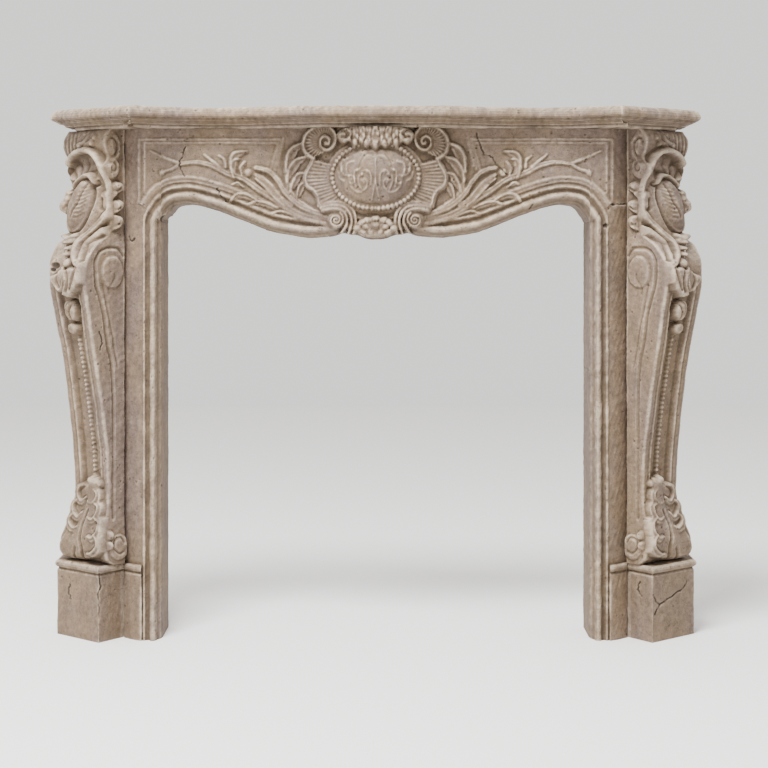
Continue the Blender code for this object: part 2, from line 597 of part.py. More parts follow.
def carve_leg_channel(carving):
    """The long hollow between the leg's raised borders, with the string down its middle."""
    rise = (carving.v - LEG_FOOT) / LEG_HEIGHT
    hollow = leg_station(rise, 2) / 2 - LEG_BORDER
    span = np.clip((rise - 0.130) / 0.02, 0.0, 1.0) * np.clip((0.665 - rise) / 0.03, 0.0, 1.0)
    carving.height -= span * LEG_SCOOP * np.clip(1 - (carving.u / hollow) ** 2, 0.0, 1.0) ** 0.5
    low, high = LEG_FOOT + 0.192 * LEG_HEIGHT, LEG_FOOT + 0.536 * LEG_HEIGHT
    mask, distance, _, _ = carving.along(np.array([(0.0, low), (0.0, high)]), LEG_STRING_HALF)
    carving.height[mask] += LEG_STRING_RISE * np.clip(1 - distance / LEG_STRING_HALF, 0.0, 1.0)


def shield_depth(rise):
    """How far the shield's middle stands out from the jamb's corner, at shares of the leg's height."""
    return np.interp(rise, (0.60, 0.631, 0.681, 0.708, 0.733, 0.763, 0.826, 0.868, 0.931, 0.954),
                     (0.118, 0.122, 0.121, 0.112, 0.098, 0.084, 0.074, 0.070, 0.066, 0.064))


def standing_path(places, steps=6):
    """A smooth path in front of a leg, from (out, up, depth from the jamb's corner) places on the drawing."""
    places = np.array(places, float)
    out_squares, up_squares, out = places.T
    across = np.zeros(len(places))
    for _ in range(6):
        plan_y = LEG_CORNER[1] + out * OUTWARD[1] + across * ALONG[1]
        sight = (EYE_DISTANCE - (WALL_Y - plan_y)) * EYE_SQUARE
        across = (out_squares * sight - LEG_CORNER[0] - out * OUTWARD[0]) / ALONG[0]
    z = EYE_HEIGHT + up_squares * sight
    rise = (z - LEG_FOOT) / LEG_HEIGHT
    u = across - leg_station(rise, 2) / 2 + leg_station(rise, 3)
    return curve_through(np.column_stack([u, z, out]), steps)


def carve_leg_hood(carving):
    """The hood over the shield: a round rim round a sunk mouth with broad flutes."""
    mouth = standing_path([
        (309.0, 72, 0.050), (310.0, 84, 0.060), (306, 93, 0.064), (297, 97, 0.064), (288, 95, 0.064),
        (281, 87, 0.062), (276, 74, 0.056), (283, 68, 0.060), (292, 73, 0.062), (302, 69, 0.056),
        (309.0, 72, 0.050)])[:, :2]
    inside = carving.within(mouth)
    foot = on_leg([(292, 64)], 0.0)[0]
    turn = np.arctan2(carving.u - foot[0], carving.v - foot[1])
    up = (carving.v - foot[1]) / 0.065
    flutes = 0.0050 * np.abs(np.cos(turn * 4.6 + 0.3))
    bowl = np.interp(up, (0.0, 0.35, 0.75, 1.1), (0.058, 0.046, 0.040, 0.044)) + flutes - carving.ground
    carving.height[inside] = bowl[inside]
    rim = standing_path([
        (309.0, 72, 0.052), (311.0, 81, 0.060), (309.0, 90, 0.066), (303, 97.0, 0.069), (295, 99.5, 0.070),
        (287.5, 97.5, 0.070), (282.0, 91.5, 0.069), (277.6, 83, 0.067), (274.0, 74, 0.064),
        (271.2, 65, 0.059), (269.3, 54, 0.056), (269.3, 45, 0.056)])
    carving.strip(rim, 0.0085, 0.006)


def carve_leg_shield(carving):
    """The long egg under the hood, and the frame that runs down to the knee."""
    rise = (carving.v - LEG_FOOT) / LEG_HEIGHT
    middle = np.clip(shield_depth(rise) - carving.ground, 0.0, 0.05)
    climb = np.clip((carving.u + leg_station(rise, 2) / 2) / 0.046, 0.0, 1.0)
    outline = standing_path([
        (308, 68, 0.052), (296, 72, 0.060), (284, 68, 0.058), (273, 72, 0.052), (269.5, 60, 0.050),
        (269.7, 44, 0.048), (277, 27, 0.056), (290, 15, 0.072), (300, 7, 0.098), (304, -3, 0.112),
        (303, -12, 0.124), (309, -14, 0.124), (314, 5, 0.100), (316, 25, 0.080), (313, 42, 0.070),
        (306, 60, 0.060), (308, 68, 0.052)])[:, :2]
    inside = carving.within(outline)
    carving.lay(inside, (middle * (0.04 + 0.58 * climb * climb * (3 - 2 * climb)))[inside])
    top, foot = on_leg([(294.0, 67), (308.5, 20)], 0.034)
    centre, reach = (top + foot) / 2, np.hypot(*(top - foot)) / 2 + 0.004
    lean = math.atan2(foot[0] - top[0], top[1] - foot[1])
    carving.dome(centre, (0.0340, reach), 0.0370, 0.42, lean)
    ribbon = standing_path([(302, 66, 0.070), (297, 71.5, 0.076), (289.5, 72.0, 0.077), (283.5, 65, 0.068)])
    carving.strip(ribbon, 0.0065, 0.006)
    frame = standing_path([(269.4, 50, 0.056), (270.0, 40, 0.057), (274.6, 32, 0.059), (281.0, 25, 0.064),
                           (290, 16.5, 0.079), (300, 8.5, 0.100), (305, -3, 0.118), (302.5, -13, 0.131),
                           (297, -17, 0.133)])
    carving.strip(frame, 0.0085, 0.006)
    for places in (((311, 50, 0.068), (314, 47, 0.074), (315, 42, 0.074), (312, 40, 0.070)),
                   ((308, 66, 0.050), (312, 72, 0.053), (312, 80, 0.053))):
        carving.strip(standing_path(places), 0.0090, 0.006)


def carve_leg_knee(carving):
    """Below the shield: the long leaf, the bell flowers, and what hangs over the knee."""
    leaf = standing_path([(299, -10, 0.124), (295.8, -2, 0.110), (291.8, 6, 0.092), (282.4, 14, 0.076),
                          (273.1, 20.7, 0.066), (269.5, 18, 0.060)])
    carving.strip(leaf, 0.0085, 0.008)
    for out, up, height in ((310.6, 9.5, 0.036), (311.9, -3, 0.028), (310, -13, 0.022)):
        carving.dome(on_leg([(out, up)], height - 0.004)[0], (0.0125, 0.0115), height, 0.45)
    carving.dome(on_leg([(297, -16)], 0.014)[0], (0.0140, 0.0090), 0.0190, 0.4, 0.4)
    right = on_leg([(312.0, -19.6), (305.4, -17), (295.7, -18.6), (295.5, -27), (298.2, -36), (303.3, -42),
                    (306.4, -48.2), (314.1, -45.6), (311.5, -34.9), (312.0, -19.6)], 0.015)
    left = on_leg([(313, -17.6), (320.7, -23.7), (325.8, -25.7), (326.3, -28.8), (321.7, -36.9),
                   (317.6, -43), (313.2, -30.8), (313, -17.6)], 0.013)
    for outline, height in ((right, 0.0185), (left, 0.0155)):
        carving.lay(carving.within(outline), height)
    carving.dome(on_leg([(303, -60.5)], -0.002)[0], (0.0185, 0.0235), 0.0140, 0.5)
    carving.dome(on_leg([(300.5, -78.5)], -0.006)[0], (0.0140, 0.0130), 0.0070, 0.5)


def carve_leg_foot(carving):
    """The leaf that climbs from the foot scroll, with its curled lobes."""
    outline = on_leg([
        (288, -233), (282, -231), (275, -236), (269.5, -247), (268, -262), (266.5, -278), (269, -292),
        (272, -306), (292, -315), (312, -314), (318, -300), (311, -281), (306, -266), (301, -252),
        (295, -237), (288, -233)], 0.006)
    carving.lay(carving.within(outline), 0.0080)
    lobes = (
        (((287, -252), (279, -254), (272, -249), (270.2, -243.5), (275.8, -239)), 0.0150, 1),
        (((286, -268), (278, -270), (270, -263), (268.2, -257), (274.5, -252.5)), 0.0170, 1),
        (((286, -287), (277, -288), (268.4, -280), (266.8, -273), (273.5, -266.5)), 0.0190, 1),
        (((285, -305), (277, -303), (271, -297), (270.6, -291), (274, -283.5)), 0.0170, 1),
        (((290, -247), (294.5, -250), (297.2, -244), (296.5, -238), (292.6, -234.5)), 0.0130, -1),
        (((294, -262), (298, -266), (302, -259), (301.5, -253), (298, -249.5)), 0.0150, -1),
    )
    for path, width, side in lobes:
        carving.blade(curve_through(on_leg(path, 0.012)), width, 0.0170, side, 0.45)
    stem = on_leg([(283, -236), (284, -250), (288, -264), (296, -280), (302, -296), (303, -312)], 0.012)
    carving.rib(curve_through(stem), 0.0170, 0.0150, 1.6, 0.0120)


def carve_leg_side(carving):
    """The volutes and lines on a leg's inner side."""
    bosses = (((265.5, 103), 0.0230, 0.0320, 0.0070), ((263.7, 82.3), 0.0200, 0.0235, 0.0110),
              ((257.2, 62.5), 0.0150, 0.0120, 0.0130), ((258.2, 43.5), 0.0200, 0.0115, 0.0130),
              ((260.0, 27.0), 0.0240, 0.0150, 0.0130), ((263.8, -22), 0.0300, 0.0345, 0.0060),
              ((257, -297), 0.0270, 0.0270, 0.0070), ((265.6, -285.8), 0.0120, 0.0100, 0.0120))
    for centre, wide, tall, height in bosses:
        carving.dome(on_leg([centre], 0.0, True)[0], (wide, tall), height, 0.3)
    line = [(252.0, -6), (262.5, 2.3), (274.8, -1.2), (280.4, -16.5), (279.4, -34.9), (271.7, -65.5),
            (267.6, -96.1), (263, -128.8), (262, -170), (262, -268)]
    carving.groove(curve_through(on_leg(line, 0.0, True)), 0.0055, 0.0040)


def make_leg(name, side, material):
    """A console: each level is a plan of its inner side, face and outer side, closed at the wall."""
    levels = round(LEG_HEIGHT / CARVING_STEP) + 1
    rise = np.linspace(0.0, 1.0, levels)
    z = (LEG_FOOT + LEG_HEIGHT * rise)[:, None]
    depth, width, step = (leg_station(rise, part)[:, None] for part in (1, 2, 3))
    lips = np.array(LEG_LIPS)
    inner_lip, outer_lip = (np.interp(rise, lips[:, 0], lips[:, part])[:, None] for part in (1, 2))
    ends = (np.clip(rise / 0.006, 0.0, 1.0) * np.clip((1 - rise) / 0.03, 0.0, 1.0))[:, None]

    def place(out, across, height):
        plan = LEG_CORNER + out[..., None] * OUTWARD + across[..., None] * ALONG
        return np.dstack([plan[..., 0], plan[..., 1], np.broadcast_to(height, out.shape)])

    ease = np.linspace(0.0, 1.0, 18)[None, :]
    out = ease * (depth - LEG_ARRIS)
    inner = Carving(out, np.broadcast_to(z, out.shape))
    carve_leg_side(inner)
    ramp = np.clip(out / 0.004, 0.0, 1.0)
    near_face = np.clip((1 - ease) * 5, 0.0, 1.0)
    overhang = inner_lip * np.clip(ease * 3.0 - 2.0, 0.0, 1.0) ** 2
    inner_points = place(out, -(step + overhang + inner.height * ends * near_face) * ramp, z)

    ease = np.linspace(0.0, 1.0, 35)[None, :]
    wide = width + inner_lip + outer_lip
    across = LEG_ARRIS * 0.3 + ease * (wide - LEG_ARRIS * 0.6)
    face = Carving(across - inner_lip - width / 2, np.broadcast_to(z, across.shape), depth)
    for carve in (carve_leg_channel, carve_leg_hood, carve_leg_shield, carve_leg_knee, carve_leg_foot):
        carve(face)
    edge = np.clip(np.minimum(across, wide - across), 0.0, LEG_ARRIS)
    rounding = LEG_ARRIS - np.sqrt(LEG_ARRIS ** 2 - (LEG_ARRIS - edge) ** 2)
    face_points = place(depth - rounding + face.height * ends, across - step - inner_lip, z)

    ease = np.linspace(0.0, 1.0, 6)[None, :]
    overhang = outer_lip * np.clip(1.0 - ease * 3.0, 0.0, 1.0)
    outer_points = place((1 - ease) * (depth - LEG_ARRIS), width - step + overhang, z)
    side_x = PLINTH_SIDE[0] - LEG_RECESS
    return_x = np.minimum(side_x, outer_points[:, -1:, 0])
    outer_foot = np.dstack([return_x, outer_points[:, -1:, 1], z])
    wall = np.full(z.shape, WALL_Y)
    wall_points = np.concatenate([np.dstack([return_x, wall, z]),
                                  np.dstack([np.full(z.shape, LEG_CORNER[0]), wall, z])], axis=1)
    rings = np.concatenate([inner_points, face_points, outer_points[:, :-1], outer_foot, wall_points], axis=1)
    if side < 0:
        rings = rings[:, ::-1] * np.array([-1.0, 1.0, 1.0])
    count = rings.shape[1]
    faces = [tuple(reversed(range(count)))]
    for level in range(levels - 1):
        low, high = level * count, (level + 1) * count
        for place_on in range(count):
            follows = (place_on + 1) % count
            faces.append((low + place_on, low + follows, high + follows, high + place_on))
    faces.append(tuple(range((levels - 1) * count, levels * count)))
    return add_piece(name, rings.reshape(-1, 3), faces, material, LEG_FACETS)


def main():
    clear_scene()
    material = stone()
    make_shelf(material)
    make_frieze(material)
    for word, side in (("left", -1), ("right", 1)):
        make_plinth(f"{word}_plinth", side, material)
        make_leg(f"{word}_leg", side, material)
        make_jamb(f"{word}_jamb", side, material)


main()
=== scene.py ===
"""The looks of a carved stone fireplace mantel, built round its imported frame.

Metres, +Z up. The front faces -Y and the flat back stands at WALL_Y. Each stone of the frame is stood
for by a finely carved mesh of the same form. Places of the carving are given in squares, as a drawing
of the front shows them: out from the middle of the mantel, and up from the height of the eye.
"""

import json
import math

import bpy
import numpy as np
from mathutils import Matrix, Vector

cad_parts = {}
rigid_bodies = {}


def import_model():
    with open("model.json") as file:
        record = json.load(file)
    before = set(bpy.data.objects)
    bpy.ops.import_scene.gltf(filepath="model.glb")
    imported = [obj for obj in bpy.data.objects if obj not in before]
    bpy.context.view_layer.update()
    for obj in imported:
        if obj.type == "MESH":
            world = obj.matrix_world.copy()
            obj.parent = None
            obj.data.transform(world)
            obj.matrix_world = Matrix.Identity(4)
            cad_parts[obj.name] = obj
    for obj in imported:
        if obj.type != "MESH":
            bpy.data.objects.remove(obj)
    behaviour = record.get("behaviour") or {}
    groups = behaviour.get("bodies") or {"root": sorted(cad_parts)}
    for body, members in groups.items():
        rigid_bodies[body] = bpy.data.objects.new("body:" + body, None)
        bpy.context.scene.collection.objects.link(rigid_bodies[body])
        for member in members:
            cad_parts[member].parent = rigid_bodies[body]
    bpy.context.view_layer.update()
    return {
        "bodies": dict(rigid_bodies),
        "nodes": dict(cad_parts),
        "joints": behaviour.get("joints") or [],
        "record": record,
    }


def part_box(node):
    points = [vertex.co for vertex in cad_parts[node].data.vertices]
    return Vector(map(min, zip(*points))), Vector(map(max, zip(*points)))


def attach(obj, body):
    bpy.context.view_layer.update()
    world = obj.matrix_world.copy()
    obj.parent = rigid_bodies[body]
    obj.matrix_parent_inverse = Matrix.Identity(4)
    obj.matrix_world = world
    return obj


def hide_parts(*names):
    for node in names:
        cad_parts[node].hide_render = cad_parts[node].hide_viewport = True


bl_info = {
    "name": "Carved stone mantel",
    "version": (1, 0, 0),
    "blender": (4, 5, 0),
    "location": "View3D > Sidebar > Mantel",
    "description": "Builds the carved and weathered stones of a fireplace mantel",
    "category": "Add Mesh",
}

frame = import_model()

# Sizes read from the frame
SHELF_LOW, SHELF_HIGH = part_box("shelf")
JAMB_LOW, JAMB_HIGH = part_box("right_jamb")
LEG_LOW, LEG_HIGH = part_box("right_leg")
PLINTH_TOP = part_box("right_plinth")[1][2]
JOINT_GAP = 0.0003
WALL_Y = SHELF_HIGH[1]
OPENING_HALF = JAMB_LOW[0]
JAMB_OUTER = JAMB_HIGH[0] + JOINT_GAP / 2
SHELF_BOTTOM = SHELF_LOW[2]
SHELF_THICKNESS = SHELF_HIGH[2] - SHELF_LOW[2]
SHELF_DEPTH = SHELF_HIGH[1] - SHELF_LOW[1]
LEG_FOOT = LEG_LOW[2]
LEG_HEAD = LEG_HIGH[2]
LEG_HEIGHT = LEG_HEAD - LEG_FOOT

# The eye that the drawing is seen from, and how wide a square of the drawing is at a metre from it
EYE_HEIGHT = 0.8375
EYE_DISTANCE = 4.17
EYE_SIDE = 0.018
SIGHT = 1.0 / 1877.0

# The camera's picture: its width, and how far its middle lies below the eye, in squares; its sensor in mm
PICTURE_WIDTH = 768.0
PICTURE_DROP = 134.0
SENSOR_WIDTH = 36.0

# The opening's edge and the face of the stone beside it
SPRING_DROP = 0.0386
DRAWING_DROP = 0.0595
OPENING_SQUARES = 215.0
SPRING_Z = JAMB_HIGH[2] - SPRING_DROP
JOINT_RISE = 0.0004
JAMB_JOINT_Z = JAMB_HIGH[2] + JOINT_RISE
FIELD_DEPTH = 0.145
BAND_WIDTH = 0.0546
JAMB_CORNER_DEPTH = 0.105
SWELL_DEPTH = 0.055
SWELL_HALF = 0.175
LEVEL_JOINT_SHARE = 0.74
MOULDING_BITE = 0.035
SQUARE = OPENING_HALF / OPENING_SQUARES
DRAWING_FOOT = SPRING_Z - DRAWING_DROP

# The plinths and legs stand on the diagonal
CAP_HEIGHT = 0.018
PLINTH_HEIGHT = PLINTH_TOP - CAP_HEIGHT
CAP_OVERHANG = 0.005
PLINTH_INNER = 0.08
PLINTH_INNER_TURN = math.radians(35.5)
PLINTH_FACE = 0.1436
PLINTH_FACE_TURN = math.radians(43.0)
LEG_RECESS = 0.04
LEG_ARRIS = 0.005
LEG_PROUD = 0.004
ALONG = np.array([math.cos(PLINTH_FACE_TURN), math.sin(PLINTH_FACE_TURN)])
OUTWARD = np.array([math.sin(PLINTH_FACE_TURN), -math.cos(PLINTH_FACE_TURN)])
JAMB_CORNER = np.array([JAMB_OUTER, WALL_Y - JAMB_CORNER_DEPTH])
LEG_CORNER = JAMB_CORNER + np.array([JOINT_GAP / 2, -LEG_PROUD])
PLINTH_FRONT = JAMB_CORNER + PLINTH_INNER * np.array(
    [math.sin(PLINTH_INNER_TURN), -math.cos(PLINTH_INNER_TURN)])
PLINTH_SIDE = PLINTH_FRONT + PLINTH_FACE * ALONG

# The shelf's plan
SHELF_MIDDLE_HALF = 0.105
SHELF_MIDDLE_DEPTH = 0.25
SHELF_RECESS_X = 0.34
SHELF_RECESS_DEPTH = 0.19
SHELF_CORNER_X = 0.515
SHELF_SIDE_DEPTH = 0.1

# Half of the arch's lower edge, from the middle out: share of the half opening, rise from the spring
ARCH_EDGE = (
    (0.0, -0.0365), (0.045, -0.035), (0.092, -0.027), (0.118, -0.0262), (0.156, -0.0225),
    (0.202, -0.029), (0.295, -0.0327), (0.357, -0.0307), (0.477, -0.0212), (0.564, -0.007),
    (0.666, 0.012), (0.748, 0.026), (0.824, 0.0363), (0.87, 0.04), (0.915, 0.0387),
    (0.95, 0.033), (0.9865, 0.0115), (1.0, 0.0),
)
# Section of the moulding round the opening: distance from the edge, height over the field
MOULDING = (
    (0.0, -MOULDING_BITE), (0.003, -0.02), (0.0085, -0.01), (0.01, -0.002), (0.0135, 0.005),
    (0.0175, 0.0065), (0.0215, 0.004), (0.0245, -0.003), (0.028, -0.005), (0.0315, -0.003),
    (0.0345, 0.003), (0.0375, 0.003), (0.04, 0.0),
)
# The same for the fillets that run on beside the moulding at the sunk panel's foot
PANEL_FOOT = (
    (0.0, 0.0), (0.04, 0.0), (0.0445, -0.001), (0.047, 0.0035), (0.05, 0.002), (0.0525, 0.003),
    (0.056, 0.0045), (0.059, 0.0025), (0.061, 0.0),
)
PANEL_HALF = 237.3
CARVED_HALF = 0.172

# A leg's stations: share of its height, depth of the face, width of the face, step of its side
LEG_STATIONS = (
    (0.0, 0.04, 0.146, 0.011), (0.006, 0.05, 0.146, 0.012), (0.018, 0.061, 0.149, 0.013),
    (0.048, 0.068, 0.151, 0.013), (0.081, 0.064, 0.137, 0.011), (0.113, 0.058, 0.125, 0.01),
    (0.146, 0.054, 0.1175, 0.01), (0.178, 0.053, 0.116, 0.01), (0.254, 0.0555, 0.119, 0.01),
    (0.307, 0.0625, 0.117, 0.01), (0.374, 0.072, 0.115, 0.01), (0.471, 0.089, 0.112, 0.01),
    (0.527, 0.0985, 0.115, 0.01), (0.582, 0.107, 0.12, 0.01), (0.6335, 0.117, 0.121, 0.01),
    (0.666, 0.119, 0.119, 0.01), (0.699, 0.112, 0.126, 0.01), (0.7265, 0.093, 0.133, 0.01),
    (0.738, 0.081, 0.135, 0.01), (0.754, 0.055, 0.135, 0.008), (0.782, 0.043, 0.135, 0.005),
    (0.82, 0.042, 0.134, 0.003), (0.8595, 0.043, 0.1265, 0.0), (0.878, 0.0475, 0.1245, 0.0),
    (0.895, 0.057, 0.1215, 0.0), (0.906, 0.0625, 0.12, 0.0), (0.914, 0.062, 0.12, 0.0),
    (0.921, 0.055, 0.127, 0.0), (0.928, 0.048, 0.137, 0.0), (0.937, 0.045, 0.144, 0.0),
    (0.95, 0.05, 0.1465, 0.0),
    (0.963, 0.054, 0.1465, 0.0), (0.976, 0.054, 0.1465, 0.0), (0.988, 0.049, 0.1465, 0.0),
    (1.0, 0.039, 0.1465, 0.0),
)

# How far the face overhangs its sides round the shield: share of the height, inner lip, outer lip
LEG_LIPS = (
    (0.7, 0.0, 0.0), (0.745, 0.0, 0.003), (0.79, 0.002, 0.008), (0.815, 0.003, 0.012),
    (0.84, 0.005, 0.008), (0.868, 0.005, 0.001), (0.895, 0.004, 0.004), (0.915, 0.002, 0.003),
    (0.935, 0.0, 0.0),
)

# Old breaks, in squares to the right of the middle and up from the eye
CRACKS = (
    ((-190, 103), (-194, 92), (-196, 85), (-191, 74)),
    ((-159, 61), (-154, 54), (-148, 48)),
    ((101, 117), (107, 98), (115, 93.5), (122.5, 84), (132, 75)),
    ((157.6, 47.4), (154, 41.4)),
    ((311, -331), (305, -340), (284.6, -354), (278, -345)),
    ((284.6, -354), (279.5, -364.5)),
    ((264, -332), (262, -340), (266, -346)),
    ((-306, -334), (-307, -342), (-305, -349)),
    ((-276.5, -324), (-275, -336), (-278, -347), (-276, -357), (-277, -368)),
    ((-246, 14), (-244, 9), (-241, 12)),
    ((-276, -82), (-273, -90), (-275, -100)),
    ((236, 45.6), (245, 45.4), (251, 46)),
)
# Where chips are out, and how far each reaches
CHIPS = (
    (230.0, 24.4, 3.0), (-211.0, 31.0, 4.5), (-209.0, 26.0, 3.5), (-320.0, -15.4, 4.5),
    (-322.5, -19.5, 3.0),
)
CRACK_DEPTH = 0.0022
CHIP_DEPTH = 0.005

# The weathered surface: bumps as (width, height, step of the seed), and pits
BUMPS = ((0.06, 0.0006, 0), (0.014, 0.00036, 1), (0.006, 0.00016, 3))
POINTS_FOR_A_PIT = 420
PIT_RADII = (0.0012, 0.0034)
PIT_DEPTH = 0.55
CRACK_SHAKE = 0.9
FACING_ROOM = -0.05
MARK_GAIN = 160

# Grime and painted shade in hollows, wear and painted highlights on proud edges: windows (cells to each
# side, gain), and how much painted shade undersides get and how much painted light top sides get
SHADE_WINDOWS = ((1, 0.8), (3, 1.0), (7, 0.9))
HOLLOW_GAIN = 2.2
PROUD_GAIN = 1.25
UNDERSIDE_PAINTED_SHADE = 0.42
TOPSIDE_PAINTED_LIGHT = 0.75

# The meshes: cells' widths, and rows and columns before they are made coarser
CELL = 0.0016
FRIEZE_CELLS = (0.0023, 0.0019, 0.00118)
FRIEZE_ROWS = 140
JAMB_ROWS = 340
JAMB_COLUMNS = (34, 26)
JAMB_CAP_CELL = 0.0018
PLINTH_CELL = 0.0021
SHELF_CELLS = (0.0013, 0.003)
LEG_ROWS = 540
LEG_SIDE_COLUMNS = 62
LEG_FACE_COLUMNS = 92
LEG_OUTER_COLUMNS = 16
SHARP_TURN = math.radians(62)

# How near the wall counts as at it, for closing a mesh, for weather (and by the floor), and for shading
TOUCH = 1e-6
UNWORN = 0.002
UNSHADED = 0.004

# Rows that take the shelf back to the wall, under its nose and over it, as shares of the way
SHELF_UNDER = (1.0, 0.65, 0.3)
SHELF_OVER = np.linspace(0.0, 1.0, 40)[1:]


# Curves and the carver's strokes

def curve_through(points, steps=8):
    """Points along a smooth curve through the given points."""
    knots = np.array(points, float)
    knots = np.vstack([2 * knots[0] - knots[1], knots, 2 * knots[-1] - knots[-2]])
    share = (np.arange(steps) / steps)[:, None]
    spans = []
    for before, start, end, after in zip(knots, knots[1:], knots[2:], knots[3:]):
        spans.append(0.5 * (2 * start + (end - before) * share
                            + (2 * before - 5 * start + 4 * end - after) * share ** 2
                            + (3 * start - before - 3 * end + after) * share ** 3))
    return np.vstack(spans + [knots[-2]])


def spiral_path(centre, outer, turns, start, inner):
    """A spiral that winds in to a share of its radius, from the angle of its outer end."""
    steps_for_a_turn = 18
    share = np.linspace(0.0, 1.0, int(turns * steps_for_a_turn) + 1)
    angle = start + 2 * math.pi * turns * share
    radius = outer * (1 - (1 - inner) * share ** 0.8)
    return np.column_stack([centre[0] + radius * np.cos(angle), centre[1] + radius * np.sin(angle)])


def lengths_along(path):
    """How far along a path each of its points lies."""
    return np.concatenate([[0.0], np.cumsum(np.hypot(*np.diff(path, axis=0).T))])


def round_over(distance, half):
    """The height of a half round: 1 on its middle line, and 0 at half its width from there."""
    return np.sqrt(np.clip(1 - (distance / half) ** 2, 0.0, 1.0))


# A height that carving never reaches, and how far from an outline distances are told
UNTOUCHED = -1.0
OUTLINE_REACH = 0.05


class Carving:
    """Heights of carving over places (u, v) on a face. What is carved later lies over what is there."""

    def __init__(self, u, v, ground=0.0):
        self.u, self.v = np.broadcast_arrays(u, v)
        self.height = np.zeros(self.u.shape)
        self.ground = np.broadcast_to(ground, self.u.shape)

    def along(self, path, reach):
        """Places near a path: a mask, and there the distance, the side of the path and the share of it."""
        low, high = path.min(axis=0) - reach, path.max(axis=0) + reach
        mask = (self.u > low[0]) & (self.u < high[0]) & (self.v > low[1]) & (self.v < high[1])
        u, v = self.u[mask], self.v[mask]
        nearest, side, share = np.full(u.shape, np.inf), np.zeros(u.shape), np.zeros(u.shape)
        spans = np.diff(path, axis=0)
        lengths = np.hypot(spans[:, 0], spans[:, 1])
        starts = np.concatenate([[0.0], np.cumsum(lengths)])
        for (pu, pv), (du, dv), length, start in zip(path, spans, lengths, starts):
            if length == 0.0:
                continue
            part = np.clip(((u - pu) * du + (v - pv) * dv) / length ** 2, 0.0, 1.0)
            off_u, off_v = u - pu - part * du, v - pv - part * dv
            distance = np.hypot(off_u, off_v)
            closer = distance < nearest
            nearest = np.where(closer, distance, nearest)
            side = np.where(closer, np.sign(du * off_v - dv * off_u), side)
            share = np.where(closer, (start + part * length) / starts[-1], share)
        return mask, nearest, side, share

    def within(self, outline):
        """Places inside a closed outline, and how far from it each place near it lies."""
        inside = np.zeros(self.u.shape, bool)
        for (u0, v0), (u1, v1) in zip(outline, outline[1:]):
            crosses = (self.v < v0) != (self.v < v1)
            inside ^= crosses & (self.u < u0 + (u1 - u0) * (self.v - v0) / (v1 - v0 + 1e-12))
        mask, distance, _, _ = self.along(outline, OUTLINE_REACH)
        off = np.full(self.u.shape, 1.0)
        off[mask] = distance
        return inside, off

    def lay(self, mask, height):
        """Raises places to a height, where they aren't higher."""
        self.height[mask] = np.maximum(self.height[mask], height)

    def sink(self, mask, height):
        """Sets places to a height, whatever is there."""
        self.height[mask] = height

    def depth_along(self, mask, share, places):
        """The depth of a path of (u, v, depth) at shares of its length, told from where the ground is."""
        steps = np.hypot(*np.diff(places[:, :2], axis=0).T)
        shares_of_path = np.concatenate([[0.0], np.cumsum(steps)]) / steps.sum()
        return np.interp(share, shares_of_path, places[:, 2]) - self.ground[mask]

    def rib(self, path, width, height, tip=1.0, end_height=None):
        """A round rib along a path. Its half width goes from width to width times tip."""
        mask, distance, _, share = self.along(path, width * max(1.0, tip))
        half = width * (1 + (tip - 1) * share)
        last = height * (1 + (tip - 1) * 0.5) if end_height is None else end_height
        top = (height + (last - height) * share) * (0.45 + 0.55 * round_over(distance, half))
        self.lay(mask, np.where(distance < half, top, UNTOUCHED))

    def strip(self, places, half, crown):
        """A rim along a path of (u, v, depth), whose edges lie lower than its middle by the crown."""
        mask, distance, _, share = self.along(places[:, :2], half)
        top = self.depth_along(mask, share, places) - crown * (1 - round_over(distance, half))
        self.lay(mask, np.where(distance < half, top, UNTOUCHED))

    def flange(self, places, width, fall):
        """A band with a crisp edge along a path of (u, v, depth), which falls away to the left of it."""
        edge_half, edge_fall = 0.0045, 0.006
        mask, distance, side, share = self.along(places[:, :2], width)
        top = self.depth_along(mask, share, places)
        reach = width * np.clip(np.sin(np.pi * np.clip(share, 0.03, 0.97)) * 2.5, 0.0, 1.0)
        band = top - fall * np.sin(np.clip(distance / reach, 0.0, 1.0) * math.pi / 2)
        edge = top - edge_fall * (1 - round_over(distance, edge_half))
        self.lay(mask, np.where(side >= 0, np.where(distance / reach < 1, band, UNTOUCHED),
                                np.where(distance < edge_half, edge, UNTOUCHED)))

    def pillow(self, outline, height, edge, floor):
        """A raised shape inside a closed outline, whose rim starts at a share of its height."""
        inside, off = self.within(outline)
        rise = np.sqrt(np.clip(1 - (1 - np.clip(off / edge, 0.0, 1.0)) ** 2, 0.0, 1.0))
        self.lay(inside, (height * (floor + (1 - floor) * rise))[inside])

    def blade(self, path, width, height, side, hollow, base):
        """A leaf whose back is the path: a crisp rim there, hollowed towards its other edge."""
        mask, distance, where, share = self.along(path, width)
        reach = width * np.sin(np.pi * np.clip(share, 0.02, 0.98)) ** 0.6
        inside = np.clip(distance / reach, 0.0, 1.0)
        rim = round_over(distance, 0.16 * width)
        body = 1 - hollow * np.clip(inside * 2.2, 0.0, 1.0) + 0.25 * hollow * inside
        shape = np.where(where * side >= 0, np.maximum(rim, body * (distance < reach)), rim)
        self.lay(mask, np.where(shape > 0, base + (height - base) * shape, UNTOUCHED))

    def dome(self, centre, radii, height, power=0.5, lean=0.0):
        """An oval bulge, which is flatter on top and steeper at its edge for a smaller power."""
        cos, sin = math.cos(lean), math.sin(lean)
        du, dv = self.u - centre[0], self.v - centre[1]
        off = ((du * cos + dv * sin) / radii[0]) ** 2 + ((dv * cos - du * sin) / radii[1]) ** 2
        self.lay(off < 1, height * (1 - off[off < 1]) ** power)

    def groove(self, path, width, depth):
        """A line cut along a path. A depth below nothing raises a line that follows what is there."""
        mask, distance, _, _ = self.along(path, width)
        self.height[mask] -= depth * np.clip(1 - (distance / width) ** 2, 0.0, 1.0)

